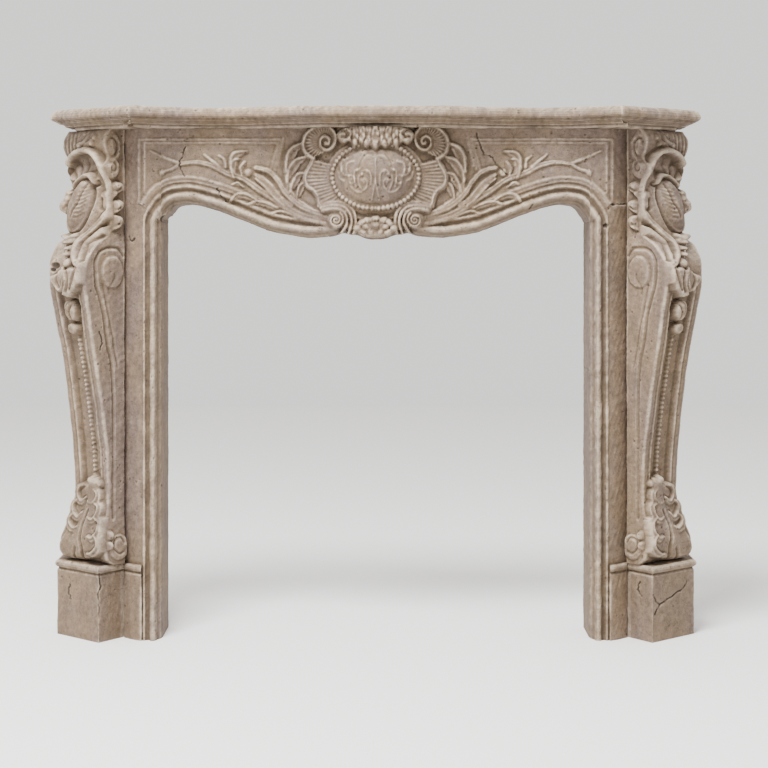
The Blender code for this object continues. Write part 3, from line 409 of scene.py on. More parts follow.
    def beads(self, path, radius, pitch, base, height):
        """A string of beads along a path, each a round cap on the ground at base."""
        lengths = lengths_along(path)
        count = max(2, round(lengths[-1] / pitch) + 1)
        for place in np.linspace(0.0, lengths[-1], count):
            centre = [np.interp(place, lengths, path[:, axis]) for axis in (0, 1)]
            off = ((self.u - centre[0]) ** 2 + (self.v - centre[1]) ** 2) / radius ** 2
            near = off < 1
            self.lay(near, base + height * np.sqrt(1 - off[near]))


def squares(*places):
    """Places on the frieze's drawing, in squares out from the middle and up, as metres."""
    return np.array(places, float) * SQUARE


def drawn(*places):
    """A smooth path through places on the frieze's drawing."""
    return curve_through(squares(*places))


def box_blur(grid, radius, wrap):
    """The mean over a window of grid cells, along both axes."""
    for axis in (0, 1):
        pad = [(0, 0)] * grid.ndim
        pad[axis] = (radius + 1, radius)
        mode = "wrap" if wrap and axis == 1 else "edge"
        total = np.cumsum(np.pad(grid, pad, mode=mode), axis=axis)
        span = 2 * radius + 1
        high = np.take(total, range(span, total.shape[axis]), axis=axis)
        low = np.take(total, range(0, total.shape[axis] - span), axis=axis)
        grid = (high - low) / span
    return grid


def waves(points, size, seed):
    """Smooth unevenness between about -1 and 1, whose bumps are as wide as size."""
    count = 9
    random = np.random.default_rng(seed)
    total = np.zeros(points.shape[:-1])
    for _ in range(count):
        turn = random.normal(size=3)
        turn *= 2 * math.pi / (size * random.uniform(0.7, 2.2) * np.linalg.norm(turn))
        total += np.sin(points @ turn + random.uniform(0, 2 * math.pi))
    return total / math.sqrt(count * 1.6)


def grid_normals(points, wrap):
    """Outward normals of a grid whose columns run to the right and whose rows run up."""
    if wrap:
        across = np.roll(points, -1, axis=1) - np.roll(points, 1, axis=1)
    else:
        across = np.gradient(points, axis=1)
    up = np.gradient(points, axis=0)
    normal = np.cross(across, up)
    return normal / np.maximum(np.linalg.norm(normal, axis=-1, keepdims=True), 1e-9)


def seen_squares(points):
    """Where places show on the drawing: squares to the right of the middle and up from the eye."""
    distance = (EYE_DISTANCE - (WALL_Y - points[..., 1])) * SIGHT
    return points[..., 0] / distance, (points[..., 2] - EYE_HEIGHT) / distance


def weather(points, wrap, seed, amount):
    """The points moved where the stone is weathered or broken, and how marked each of them is, from 0 to 1.
    """
    normals = grid_normals(points, wrap)
    shift = sum(height * waves(points, width, seed + step) for width, height, step in BUMPS)
    random = np.random.default_rng(seed + 2)
    flat = points.reshape(-1, 3)
    pits = np.zeros(len(flat))
    for index in random.integers(0, len(flat), int(amount * len(flat) / POINTS_FOR_A_PIT)):
        centre = flat[index]
        radius = random.uniform(*PIT_RADII)
        rows = np.flatnonzero(np.abs(flat[:, 2] - centre[2]) < radius)
        off = np.sum((flat[rows] - centre) ** 2, axis=1) / radius ** 2
        hit = rows[off < 1]
        pits[hit] = np.maximum(pits[hit], (1 - off[off < 1]) * radius * PIT_DEPTH)
    shown = Carving(*seen_squares(points))
    facing = normals[..., 1] < FACING_ROOM
    for path in CRACKS:
        shaky = curve_through(path, 5)
        shaky[1:-1] += random.uniform(-CRACK_SHAKE, CRACK_SHAKE, (len(shaky) - 2, 2))
        shown.groove(shaky, 1.0, -1.0)
    uneven = np.clip(0.75 + 0.5 * waves(points, 0.012, seed + 4), 0.15, 1.0)
    cracks = np.clip(shown.height, 0.0, 1.0) * facing * uneven
    shown.height[:] = 0.0
    for out, up, size in CHIPS:
        shown.dome((out, up), (size, size * 0.8), 1.0)
    chips = shown.height * facing
    cut = pits.reshape(shift.shape) + cracks * CRACK_DEPTH + chips * CHIP_DEPTH
    keep = (points[..., 1] < WALL_Y - UNWORN) & (points[..., 2] > UNWORN)
    marks = np.clip(cracks + chips * 0.5 + cut * MARK_GAIN, 0.0, 1.0)
    return points + normals * ((shift - cut) * keep)[..., None], marks * keep


def shading(points, wrap, cell):
    """How hollow and how proud each place is, from 0 to 1, against the stone round it. Hollows are darkened
    as grime and painted shade, undersides as painted shade; proud edges are paled as wear and painted
    highlights, top sides as painted light.

    It is told from windows of three sizes, in cells, each with its gain.
    """
    normals = grid_normals(points, wrap)
    hollow, proud = np.zeros(points.shape[:2]), np.zeros(points.shape[:2])
    # Concave places get the hollow mark, for grime and painted shade; convex places get the proud mark, for
    # wear and painted highlights
    for radius, gain in SHADE_WINDOWS:
        off = np.sum((box_blur(points, radius, wrap) - points) * normals, axis=-1) / (cell * radius)
        hollow = hollow + gain * np.clip(off, 0.0, 0.6)
        proud = proud + gain * np.clip(-off, 0.0, 0.5)
    up = normals[..., 2]
    # Down-facing sides are painted darker as shade, through the hollow mark
    hollow = hollow * HOLLOW_GAIN + UNDERSIDE_PAINTED_SHADE * np.clip(-up, 0.0, 1.0)
    # Up-facing sides are painted lighter as light from above, through the proud mark, less in hollows
    wear_and_painted_light = TOPSIDE_PAINTED_LIGHT * np.clip(up, 0.0, 1.0) * np.clip(1 - hollow, 0.0, 1.0)
    proud = proud * PROUD_GAIN + wear_and_painted_light
    return np.clip(hollow, 0.0, 1.0), np.clip(proud, 0.0, 1.0)


def stone_mesh(name, points, wrap, settings, seed, cell=CELL):
    """A piece from a grid of points on its face. A wrapped grid is a tube, whose ends are closed flat.

    An open grid is closed back to the wall from its first and last rows and columns. A column that lies
    at the wall already is the shelf's, and is closed by one flat face between its under and over rows.
    """
    points, cracks = weather(points, wrap, seed, settings.pits)
    hollow, proud = shading(points, wrap, cell)
    in_room = points[..., 1] < WALL_Y - UNSHADED
    index = np.arange(points[..., 0].size).reshape(points.shape[:2])
    here = index if wrap else index[:, :-1]
    after = np.roll(index, -1, axis=1) if wrap else index[:, 1:]
    vertices = [points.reshape(-1, 3)]
    faces = np.stack([here[:-1], after[:-1], after[1:], here[1:]], axis=-1).reshape(-1, 4).tolist()

    def close(ring, reverse):
        """One flat face on a ring of new points."""
        start = sum(map(len, vertices))
        vertices.append(ring)
        order = list(range(start, start + len(ring)))
        faces.append(order[::-1] if reverse else order)

    def bridge(first, second, reverse):
        """A row of faces on two rows of new points."""
        start, count = sum(map(len, vertices)), len(first)
        vertices.extend((first, second))
        for place in range(start, start + count - 1):
            quad = [place, place + 1, place + count + 1, place + count]
            faces.append(quad[::-1] if reverse else quad)

    def walled(edge):
        return np.column_stack([edge[:, 0], np.full(len(edge), WALL_Y), edge[:, 2]])

    if wrap:
        close(points[0], True)
        close(points[-1], False)
    else:
        for edge, reverse, is_column in ((points[0], False, False), (points[-1], True, False),
                                         (points[:, 0], False, True), (points[:, -1], True, True)):
            if edge[:, 1].min() < WALL_Y - TOUCH:
                bridge(walled(edge), edge, reverse)
            elif is_column:
                close(edge[len(SHELF_UNDER):-len(SHELF_OVER)], reverse)
        bridge(walled(points[0]), walled(points[-1]), True)
    vertices = np.vstack(vertices)
    mesh = bpy.data.meshes.new(name)
    mesh.from_pydata(vertices.tolist(), [], faces)
    # hollow carries grime and painted shade, proud carries wear, painted highlights and painted light on
    # top sides
    for title, values in (("hollow", hollow * in_room), ("proud", proud * in_room), ("crack", cracks)):
        full = np.zeros(len(vertices))
        full[:values.size] = values.ravel()
        mesh.attributes.new(title, "FLOAT", "POINT").data.foreach_set("value", full)
    mesh.polygons.foreach_set("use_smooth", np.ones(len(mesh.polygons), bool))
    mesh.set_sharp_from_angle(angle=SHARP_TURN)
    mesh.materials.append(weathered_stone(settings))
    piece = bpy.data.objects.new(name, mesh)
    bpy.context.scene.collection.objects.link(piece)
    return piece


def place_piece(piece, node):
    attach(piece, "root")
    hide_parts(node)


# The finish

def weathered_stone(settings):
    """Old limestone: cloudy warm greys, grime, olive staining and painted shade in the hollows and under
    things, pale rubbed edges with painted highlights, painted light on top sides, grain, pits and veins.
    """
    name = "weathered stone"
    if name in bpy.data.materials:
        return bpy.data.materials[name]
    material = bpy.data.materials.new(name)
    material.use_nodes = True
    tree = material.node_tree
    shader = tree.nodes["Principled BSDF"]
    place = tree.nodes.new("ShaderNodeTexCoord").outputs["Object"]

    def noise(scale, detail, roughness, stretch=None, output="Fac"):
        node = tree.nodes.new("ShaderNodeTexNoise")
        node.inputs["Scale"].default_value = scale
        node.inputs["Detail"].default_value = detail
        node.inputs["Roughness"].default_value = roughness
        source = place
        if stretch:
            mapping = tree.nodes.new("ShaderNodeMapping")
            mapping.inputs["Scale"].default_value = stretch
            tree.links.new(place, mapping.inputs["Vector"])
            source = mapping.outputs["Vector"]
        tree.links.new(source, node.inputs["Vector"])
        return node.outputs[output]

    def ramp(source, low, high, low_value=0.0, high_value=1.0):
        node = tree.nodes.new("ShaderNodeMapRange")
        node.inputs["From Min"].default_value = low
        node.inputs["From Max"].default_value = high
        node.inputs["To Min"].default_value = low_value
        node.inputs["To Max"].default_value = high_value
        tree.links.new(source, node.inputs["Value"])
        return node.outputs["Result"]

    def math_node(kind, first, second):
        node = tree.nodes.new("ShaderNodeMath")
        node.operation = kind
        node.use_clamp = True
        for socket, value in zip(node.inputs, (first, second)):
            if isinstance(value, float):
                socket.default_value = value
            else:
                tree.links.new(value, socket)
        return node.outputs["Value"]

    def mix(factor, first, second, blend="MIX"):
        node = tree.nodes.new("ShaderNodeMix")
        node.data_type = "RGBA"
        node.blend_type = blend
        sockets = node.inputs[0], node.inputs[6], node.inputs[7]
        for socket, value in zip(sockets, (factor, first, second)):
            if isinstance(value, (float, tuple)):
                socket.default_value = value
            else:
                tree.links.new(value, socket)
        return node.outputs[2]

    def attribute(title):
        node = tree.nodes.new("ShaderNodeAttribute")
        node.attribute_name = title
        return node.outputs["Fac"]

    stone_colour, warm_colour, cool_colour, wear_and_painted_light_colour, stain_and_shade_colour, dirt_and_shade_colour = (
        (*getattr(settings, f"{word}_colour"), 1.0)
        for word in ("stone", "warm", "cool", "wear_and_painted_light", "stain_and_shade", "dirt_and_shade"))

    def shade(colour, source, low, high, dark, light):
        """The colour made darker or lighter by the source, between dark and light times itself."""
        bright = tree.nodes.new("ShaderNodeCombineColor")
        for socket in bright.inputs:
            tree.links.new(ramp(source, low, high, dark, light), socket)
        return mix(1.0, colour, bright.outputs["Color"], "MULTIPLY")

    colour = mix(ramp(noise(6.0, 5.0, 0.6), 0.4, 0.6), stone_colour, warm_colour)
    colour = mix(ramp(noise(10.0, 4.0, 0.55, (1.0, 1.0, 0.35)), 0.44, 0.62), colour, cool_colour)
    colour = shade(colour, noise(22.0, 5.0, 0.65, (1.0, 1.0, 0.5)), 0.35, 0.65, 0.84, 1.14)
    colour = shade(colour, noise(75.0, 6.0, 0.72), 0.34, 0.66, 0.72, 1.24)
    colour = shade(colour, noise(380.0, 4.0, 0.75), 0.3, 0.7, 0.66, 1.26)

    # Pale rubbed edges with painted highlights, and painted light on top sides, from the proud mark
    wear_and_painted_light = math_node("POWER", attribute("proud"), 1.5)
    wear_and_painted_light = math_node("MULTIPLY", wear_and_painted_light, ramp(noise(38.0, 4.0, 0.6), 0.3, 0.65, 0.15, 1.0))
    colour = mix(math_node("MULTIPLY", wear_and_painted_light, 0.75), colour, wear_and_painted_light_colour)

    for scale, low, high, amount in ((170.0, 0.6, 0.7, 0.6), (330.0, 0.62, 0.72, 0.45)):
        specks = ramp(noise(scale, 3.0, 0.65), low, high)
        colour = mix(math_node("MULTIPLY", specks, amount), colour, dirt_and_shade_colour)
    veins = tree.nodes.new("ShaderNodeTexVoronoi")
    veins.feature = "DISTANCE_TO_EDGE"
    veins.inputs["Scale"].default_value = 6.5
    bent = mix(0.16, place, noise(9.0, 2.0, 0.5, output="Color"))
    tree.links.new(bent, veins.inputs["Vector"])
    thin = ramp(veins.outputs["Distance"], 0.0, 0.01, 1.0, 0.0)
    thin = math_node("MULTIPLY", thin, ramp(noise(5.0, 2.0, 0.5), 0.5, 0.62))
    colour = mix(math_node("MULTIPLY", thin, 0.3), colour, dirt_and_shade_colour)

    # Olive staining with painted shade in the hollows and under things, from the hollow mark
    stain_and_shade = math_node("MULTIPLY", attribute("hollow"), ramp(noise(14.0, 3.0, 0.6), 0.3, 0.6, 0.5, 1.0))
    colour = mix(math_node("MULTIPLY", stain_and_shade, 0.55), colour, stain_and_shade_colour)
    # Dark grime with painted shade deep in the hollows and under things, from the hollow mark
    deep = math_node("POWER", attribute("hollow"), 1.8)
    deep = math_node("MULTIPLY", deep, ramp(noise(45.0, 5.0, 0.7), 0.3, 0.62, 0.45, 1.0))
    colour = mix(math_node("MULTIPLY", deep, float(settings.dirt_and_shade)), colour, dirt_and_shade_colour)
    cut_colour = (*(value * 0.35 for value in settings.dirt_and_shade_colour), 1.0)
    colour = mix(math_node("MULTIPLY", attribute("crack"), 0.85), colour, cut_colour)
    tree.links.new(colour, shader.inputs["Base Color"])
    tree.links.new(ramp(noise(60.0, 4.0, 0.6), 0.3, 0.7, 0.7, 0.9), shader.inputs["Roughness"])
    shader.inputs["Specular IOR Level"].default_value = 0.32

    # Grain, and the wider roughness that it lies on
    relief = mix(0.5, noise(520.0, 5.0, 0.7), noise(150.0, 4.0, 0.6))
    rough = mix(0.45, relief, noise(60.0, 5.0, 0.6))
    bump = tree.nodes.new("ShaderNodeBump")
    bump.inputs["Strength"].default_value = 0.55
    bump.inputs["Distance"].default_value = 0.0016
    tree.links.new(rough, bump.inputs["Height"])
    tree.links.new(bump.outputs["Normal"], shader.inputs["Normal"])
    return material


# The frieze: u is out from the middle, v is up from the drawing's foot

def carve_panel_frame(carving):
    """The sunk panel's double fillet, which ends in a slanted side behind the spray."""
    for inset in (0.0, 3.3):
        outer = PANEL_HALF - 1.8 * inset
        carving.rib(squares((outer, 47 + 3 * inset), (outer, 110.4 - inset),
                            (95 + 0.8 * inset, 110.4 - inset), (101 + inset, 80)), 0.0028, 0.0026)
    carving.rib(squares((92, 112), (95, 98), (98, 84)), 0.0026, 0.0026)


def carve_spray(carving):
    """The branch and its leaves that run out from the lower volute."""
    stems = (
        (((44, 29), (63, 39), (81, 52), (88, 67), (88.5, 80), (86, 94)), 0.0085, 0.008, 0.45),
        (((46, 33), (72, 42), (88, 55), (98, 70), (108, 79), (120, 82)), 0.0075, 0.0095, 0.7),
        (((46, 27), (76, 35), (100, 50), (116, 60), (132, 71), (148, 76), (159, 82), (168, 85.5),
          (181, 87.6), (197, 85.5)), 0.0095, 0.0075, 0.4),
        (((84, 44), (96, 53), (104, 64), (112, 71), (120, 75)), 0.005, 0.0075, 0.8),
        (((195, 86), (209, 91.4), (225, 99)), 0.004, 0.004, 0.6),
        (((195, 86), (204, 80.5), (211, 78.5)), 0.0038, 0.004, 0.9),
        (((156, 82), (163, 88.5), (171, 95)), 0.0045, 0.0055, 0.6),
        (((150, 83), (151, 90), (156.5, 94.3)), 0.004, 0.005, 0.6),
    )
    for path, width, height, tip in stems:
        stem = drawn(*path)
        carving.rib(stem, width, height, tip)
        if width > 0.0045:
            carving.groove(stem + (0.0012, 0.0016), 0.0019, 0.0022)
    leaves = (
        (((90, 78), (88.5, 95), (82, 103.5), (72, 107)), 0.019, 0.0095, 1),
        (((88.5, 68), (87, 80), (80, 90), (68.6, 93.5)), 0.017, 0.0095, 1),
        (((85, 58), (83.5, 67), (78.6, 75.3), (71, 77)), 0.014, 0.009, 1),
        (((78.6, 51), (78, 58.7), (75.3, 65.3), (68, 69)), 0.013, 0.009, 1),
        (((141.6, 72), (145, 82), (145, 92), (140, 97.7), (129, 98.5)), 0.016, 0.009, 1),
        (((140, 75.3), (144, 83.6), (141.6, 90), (136.6, 91)), 0.01, 0.008, 1),
        (((133.3, 73.6), (135.8, 82), (130.8, 88.5)), 0.009, 0.008, 1),
        (((145, 48.7), (140, 55.4), (130, 56.2), (119, 50)), 0.011, 0.009, 1),
        (((127, 46), (118.4, 48.7), (108.4, 47), (98, 42)), 0.009, 0.0085, 1),
        (((104, 37), (93.5, 38.8), (80, 33)), 0.008, 0.007, 1),
        (((86, 30.5), (77, 32), (67, 28)), 0.006, 0.0065, 1),
        (((144, 65.3), (138.3, 67.8), (132, 63)), 0.007, 0.0065, 1),
    )
    for path, width, height, side in leaves:
        carving.blade(drawn(*path), width, height * 1.15, side, 0.75, 0.001)
    inner = drawn((120, 71), (112, 64), (100, 51), (91, 44))
    carving.blade(inner, 0.016, 0.009, -1, 0.5, 0.001)
    carving.dome(squares((127.5, 77))[0], (0.0095, 0.0095), 0.0085)
    carving.dome(squares((213.5, 77.3))[0], (0.007, 0.007), 0.006)


def carve_shell(carving):
    """The fluted shell wing beside the oval, its ridged rim and the snail at its top."""
    middle = squares((0, 73))[0]
    rim = drawn((62, 91), (63.5, 86), (68, 78), (70, 71), (67.5, 64), (61, 59),
                                (57.5, 53), (56, 46), (50, 40.5), (40, 38.4), (29.6, 38.0))
    stretch, flute_turns, flute_start = 1.25, 84, 0.66
    du, dv = (carving.u - middle[0]) / stretch, carving.v - middle[1]
    angle, radius = np.arctan2(dv, du), np.hypot(du, dv)
    rim_u, rim_v = (rim[:, 0] - middle[0]) / stretch, rim[:, 1] - middle[1]
    rim_angle, rim_radius = np.arctan2(rim_v, rim_u), np.hypot(rim_u, rim_v)
    order = np.argsort(rim_angle)
    reach = np.interp(angle, rim_angle[order], rim_radius[order], left=0.0, right=0.0)
    inside = (radius < reach) & (reach > 0)
    share = radius[inside] / reach[inside]
    fluted = np.clip((share - flute_start) / 0.06, 0.0, 1.0)
    flutes = 0.0019 * np.cos(angle[inside] * flute_turns) * fluted
    carving.lay(inside, 0.005 + 0.006 * share ** 2 + flutes)
    carving.rib(rim, 0.0064, 0.0125)
    carving.rib(rim, 0.0024, 0.0152)
    snail = drawn(
        (62, 91), (69.5, 97), (72, 107), (67.5, 117), (57.5, 122.5), (47, 122), (40.5, 116),
        (39.6, 108), (43.5, 101), (49.5, 99.5), (54.5, 103.5), (54.5, 110), (50, 113), (46, 110),
        (46.5, 105.5), (49.5, 105))
    eye = squares((50, 107))[0]
    disc, _ = carving.within(np.vstack([snail[:64], snail[:1]]))
    turn = np.arctan2(carving.v - eye[1], carving.u - eye[0])
    out = np.hypot(carving.v - eye[1], carving.u - eye[0])
    comb = 0.0028 * np.cos(turn * 34) * np.clip((out - 0.017) / 0.004, 0.0, 1.0)
    carving.lay(disc, (0.0105 + comb - 0.1 * np.clip(0.034 - out, 0.0, 0.02))[disc])
    carving.rib(snail, 0.0052, 0.0165, 0.62, 0.0175)
    carving.rib(snail[:84], 0.0018, 0.019)
    carving.dome(squares((49, 106.5))[0], (0.0056, 0.0056), 0.0185)


def carve_volute(carving):
    """The lower volute of two turns, with the rolls that wrap round it and run out along the edge."""
    wraps = (
        (((56, 44), (44, 47), (31, 46), (22.5, 39), (19.5, 29), (20.5, 19), (25, 10)), 0.0062, 0.0135),
        (((54, 42), (43, 44), (32, 42.5), (25.5, 36), (23.5, 27), (26, 18), (31, 10)), 0.0058, 0.0165),
        (((52, 39.5), (42, 41), (33, 38.5), (28.5, 32), (28.5, 25), (32, 19), (37, 14), (43, 9)),
         0.0056, 0.019),
    )
    for path, width, height in wraps:
        carving.rib(drawn(*path), width, height, 0.45)
    centre = squares((39, 29.5))[0]
    carving.dome(centre, (0.02, 0.019), 0.0165, 0.25)
    carving.rib(spiral_path(centre, 0.0175, 2.1, math.radians(120), 0.12), 0.0026, 0.0212)


def carve_boss(carving):
    """The oval boss in its string of beads, with a stem and acanthus scrolls on both sides of it."""
    middle = squares((0, 73))[0]
    wide, tall = 43.2 * SQUARE, 32.5 * SQUARE
    carving.dome(middle, (wide * 1.16, tall * 1.16), 0.0125, 0.22)
    turn = np.linspace(-math.pi, math.pi, 121)
    ring = np.column_stack([middle[0] + wide * np.cos(turn), middle[1] + tall * np.sin(turn)])
    carving.beads(ring, 0.0046, 0.0096, 0.012, 0.006)
    carving.dome(middle, (wide * 0.9, tall * 0.89), 0.0245, 0.35)
    carving.groove(drawn((1, 94), (8, 94.5), (14, 88), (17, 79)), 0.002, 0.0018)
    carving.groove(squares((0, 90), (0, 64)), 0.0026, -0.002)
    carving.groove(squares((0, 70), (3.6, 49)), 0.003, -0.0022)
    scrolls = (
        ((13.5, 68.5), (10, 69.5), (8, 65.5), (9.5, 60.5), (14.5, 57), (20.5, 58.5), (25, 64),
         (26, 71), (29, 79)),
        ((25, 66), (22, 65.5), (20.5, 69), (23, 73), (28, 73), (33, 76), (35, 83)),
        ((4.6, 64), (4.5, 73), (8, 78.5), (13, 77), (13.5, 73.5)),
        ((31, 68), (35.5, 71), (37, 77)), ((14, 60), (17, 67), (16, 73), (12, 74.5)),
        ((19.5, 62), (21, 76), (16, 80)), ((29, 74), (28, 85), (21.5, 87.5)),
        ((33.5, 78), (33, 88), (28, 90.5)),
    )
    for scroll in scrolls:
        carving.groove(drawn(*scroll), 0.0031, -0.0026)
    for place in ((11.5, 66.3), (23.4, 69.4), (31, 88), (34.8, 84.5), (8.5, 76.5), (18, 78)):
        carving.groove(squares(place, (place[0], place[1] + 0.6)), 0.004, -0.0026)


def carve_cartouche(carving):
    """The boss, the ragged leaf that hangs over it with a curl at each end, and the flower below."""
    carve_boss(carving)
    outline = curve_through(squares(
        (-12, 122), (0, 123), (18, 122.5), (32, 120), (38, 115), (36, 108), (31, 104.5), (26, 106.5),
        (21, 101.5), (15, 104.5), (10, 100.5), (5, 102.5), (0, 98.5), (-7, 101)), 4)
    carving.pillow(np.vstack([outline, outline[:1]]), 0.0275, 0.013, 0.55)
    lobes = (
        (0, 101, 4.2), (8, 103, 3.4), (13.5, 105.5, 2.8), (20, 104.5, 3.2), (25.5, 109, 2.6),
        (5, 108, 2.6), (11, 110.5, 3.0), (17, 110, 2.4), (21.5, 114, 3.2), (3, 114.5, 3.4),
        (9, 117, 2.4), (15, 116.5, 2.8), (31, 107.5, 3.0), (0, 119.5, 2.6), (27, 116.5, 2.4),
        (12.5, 120.5, 2.2),
    )
    for out, up, size in lobes:
        carving.groove(squares((out, up), (out + 0.8, up + size * 0.7)), size * SQUARE, -0.0042)
    folds = (((3, 121), (4.5, 111), (3, 103)), ((10, 120), (9, 112), (12, 104)),
             ((17, 120), (16, 113), (17, 105)), ((23, 119), (23, 111), (23.5, 105)))
    curl = ((36, 117), (31, 118), (27.5, 114.5), (29, 111), (33, 111.5))
    curl_rim = ((38, 119), (31, 121), (24.5, 116.5), (25.5, 109.5), (31, 107.5))
    for path in folds:
        carving.groove(drawn(*path), 0.0024, 0.004)
    carving.groove(drawn(*curl), 0.0044, 0.006)
    carving.groove(drawn(*curl_rim), 0.0034, -0.0034)
    carving.dome(squares((0, 22.5))[0], (20.5 * SQUARE, 10.0 * SQUARE), 0.018, 0.4)
    carving.dome(squares((0, 24))[0], (5.5 * SQUARE, 4.2 * SQUARE), 0.0265)
    petals = ((7.5, 29, 0.5), (0, 30.5, 0.0), (13.5, 26.5, -0.6), (17.5, 21.5, -0.2), (9.5, 22.5, 0.2),
              (5, 17.5, 1.2), (12.5, 17.5, 0.4))
    for out, up, lean in petals:
        carving.dome(squares((out, up))[0], (0.01, 0.0068), 0.0218, 0.3, lean)
        carving.groove(squares((out * 0.7, up * 0.5 + 12), (out * 1.2, up * 1.2 - 4.5)), 0.0016, 0.0026)


def shares(count, settings):
    """Even shares from 0 to 1, fewer where the mesh is made coarser."""
    return np.linspace(0.0, 1.0, round(count / settings.coarseness))


def arch_edge():
    """The opening's edge on one side, from the middle out and then down to the floor, as (x, z)."""
    points = [(share * OPENING_HALF, SPRING_Z + rise) for share, rise in ARCH_EDGE]
    curve = curve_through(points, 4)
    curve[:, 0] = np.minimum(curve[:, 0], OPENING_HALF)
    return np.vstack([curve, [OPENING_HALF, 0.0]])


def lower_edge(x):
    """Height of the frieze's lower edge: the arch, then the joint with the jamb."""
    edge = arch_edge()[:-1]
    joint_x = (OPENING_HALF, JAMB_OUTER - BAND_WIDTH * LEVEL_JOINT_SHARE)
    joint_z = (SPRING_Z, JAMB_JOINT_Z)
    return np.where(np.abs(x) < OPENING_HALF, np.interp(np.abs(x), edge[:, 0], edge[:, 1]),
                    np.interp(np.abs(x), joint_x, joint_z))


def field_depth(x):
    """Depth of the plain field from the wall: it sweeps back to the leg and swells at the middle."""
    x = np.abs(x)
    band = np.clip((x - (JAMB_OUTER - BAND_WIDTH)) / BAND_WIDTH, 0.0, 1.0)
    sweep = (FIELD_DEPTH - JAMB_CORNER_DEPTH) * band ** 1.6
    swell = SWELL_DEPTH * 0.5 * (1 + np.cos(np.pi * np.clip(x / SWELL_HALF, 0.0, 1.0)))
    return FIELD_DEPTH - sweep + swell


def moulding_height(x, z, profile=MOULDING):
    """Height of the opening's moulding over the field, by the distance from the opening's edge."""
    near = Carving(np.abs(x), z)
    section = np.array(profile)
    mask, distance, _, _ = near.along(arch_edge(), section[-1, 0])
    near.height[mask] = np.interp(distance, section[:, 0], section[:, 1])
    return near.height


def frieze_depth(x, z):
    """Depth of the frieze's carved face from the wall."""
    carving = Carving(np.abs(x), z - DRAWING_FOOT)
    for carve in (carve_panel_frame, carve_spray, carve_shell, carve_volute, carve_cartouche):
        carve(carving)
    moulding = moulding_height(x, z)
    in_panel = np.abs(x) < PANEL_HALF * SQUARE
    moulding = moulding + np.where(in_panel, moulding_height(x, z, PANEL_FOOT), 0.0)
    over_moulding = 0.004
    raised = np.where(moulding < 0, np.where(carving.height > over_moulding, carving.height, moulding),
                      np.maximum(moulding, carving.height))
    return field_depth(x) + box_blur(raised, 1, False)


def build_frieze(settings):
    """The frieze, from the arch up to the shelf, with narrower cells where it is carved more finely."""
    half, panel = JAMB_OUTER - JOINT_GAP / 2, PANEL_HALF * SQUARE
    ends = (-half, -panel, -CARVED_HALF, CARVED_HALF, panel, half)
    wide, middling, narrow = FRIEZE_CELLS
    x = np.concatenate([np.linspace(a, b, round((b - a) / (cell * settings.coarseness)) + 1)[:-1]
                        for a, b, cell in zip(ends, ends[1:], (wide, middling, narrow, middling, wide))]
                       + [[half]])
    low = lower_edge(x)
    z = low + (LEG_HEAD - low) * shares(FRIEZE_ROWS, settings)[:, None]
    x = np.broadcast_to(x, z.shape)
    points = np.dstack([x, WALL_Y - frieze_depth(x, z), z])
    place_piece(stone_mesh("carved_frieze", points, False, settings, 11), "frieze")


# The jambs and plinths

def cap_profile():
    """The block and its cap moulding, from the floor up: how far they stand proud, and the height."""
    proud = [0.0, 0.0] + [CAP_OVERHANG * share for share in (-0.6, -0.6, 0.1, 0.7, 1.0, 0.7, 0.1, -0.4)]
    rise = [-1.0, -0.22] + [0.0, 0.1, 0.16, 0.3, 0.55, 0.8, 0.94, 1.0]
    height = [0.0] + [PLINTH_HEIGHT + CAP_HEIGHT * share for share in rise[1:]]
    return np.array(list(zip(proud, height)))


def finely(profile, step):
    """A section with a point at least every step, and all of its own points kept."""
    lengths = lengths_along(profile)
    places = [np.linspace(a, b, max(1, math.ceil((b - a) / step)) + 1)[:-1]
              for a, b in zip(lengths, lengths[1:])]
    places = np.concatenate(places + [[lengths[-1]]])
    return np.column_stack([np.interp(places, lengths, values) for values in profile.T])


def build_jamb(side, word, settings):
    """The slip beside the opening: its band, its moulding, and its base block under the cap moulding."""
    block_gap, block_step, block_proud = 0.001, 0.0004, 0.008
    foot_edge = OPENING_HALF + MOULDING[-1][0] + block_gap
    cap = finely(cap_profile(), JAMB_CAP_CELL * settings.coarseness)
    x = np.concatenate([np.linspace(OPENING_HALF, foot_edge - block_step, JAMB_COLUMNS[0]),
                        np.linspace(foot_edge, JAMB_OUTER - JOINT_GAP / 2, JAMB_COLUMNS[1])])
    top = lower_edge(np.where(x <= OPENING_HALF, OPENING_HALF + TOUCH, x)) - JOINT_GAP
    base_top = cap[-1, 1] + JOINT_GAP / 2
    above = shares(JAMB_ROWS, settings)[:, None]
    z = np.vstack([np.broadcast_to(cap[:, 1:], (len(cap), len(x))), base_top + (top - base_top) * above])
    proud = np.vstack([block_proud + cap[:, :1], np.zeros(above.shape)])
    x = np.broadcast_to(x, z.shape)
    depth = field_depth(x) + moulding_height(x, z) + np.where(x >= foot_edge, proud, 0.0)
    points = np.dstack([side * x, WALL_Y - depth, z])
    if side < 0:
        points = points[:, ::-1]
    place_piece(stone_mesh(f"{word}_moulded_jamb", points, False, settings, 23 + side), f"{word}_jamb")


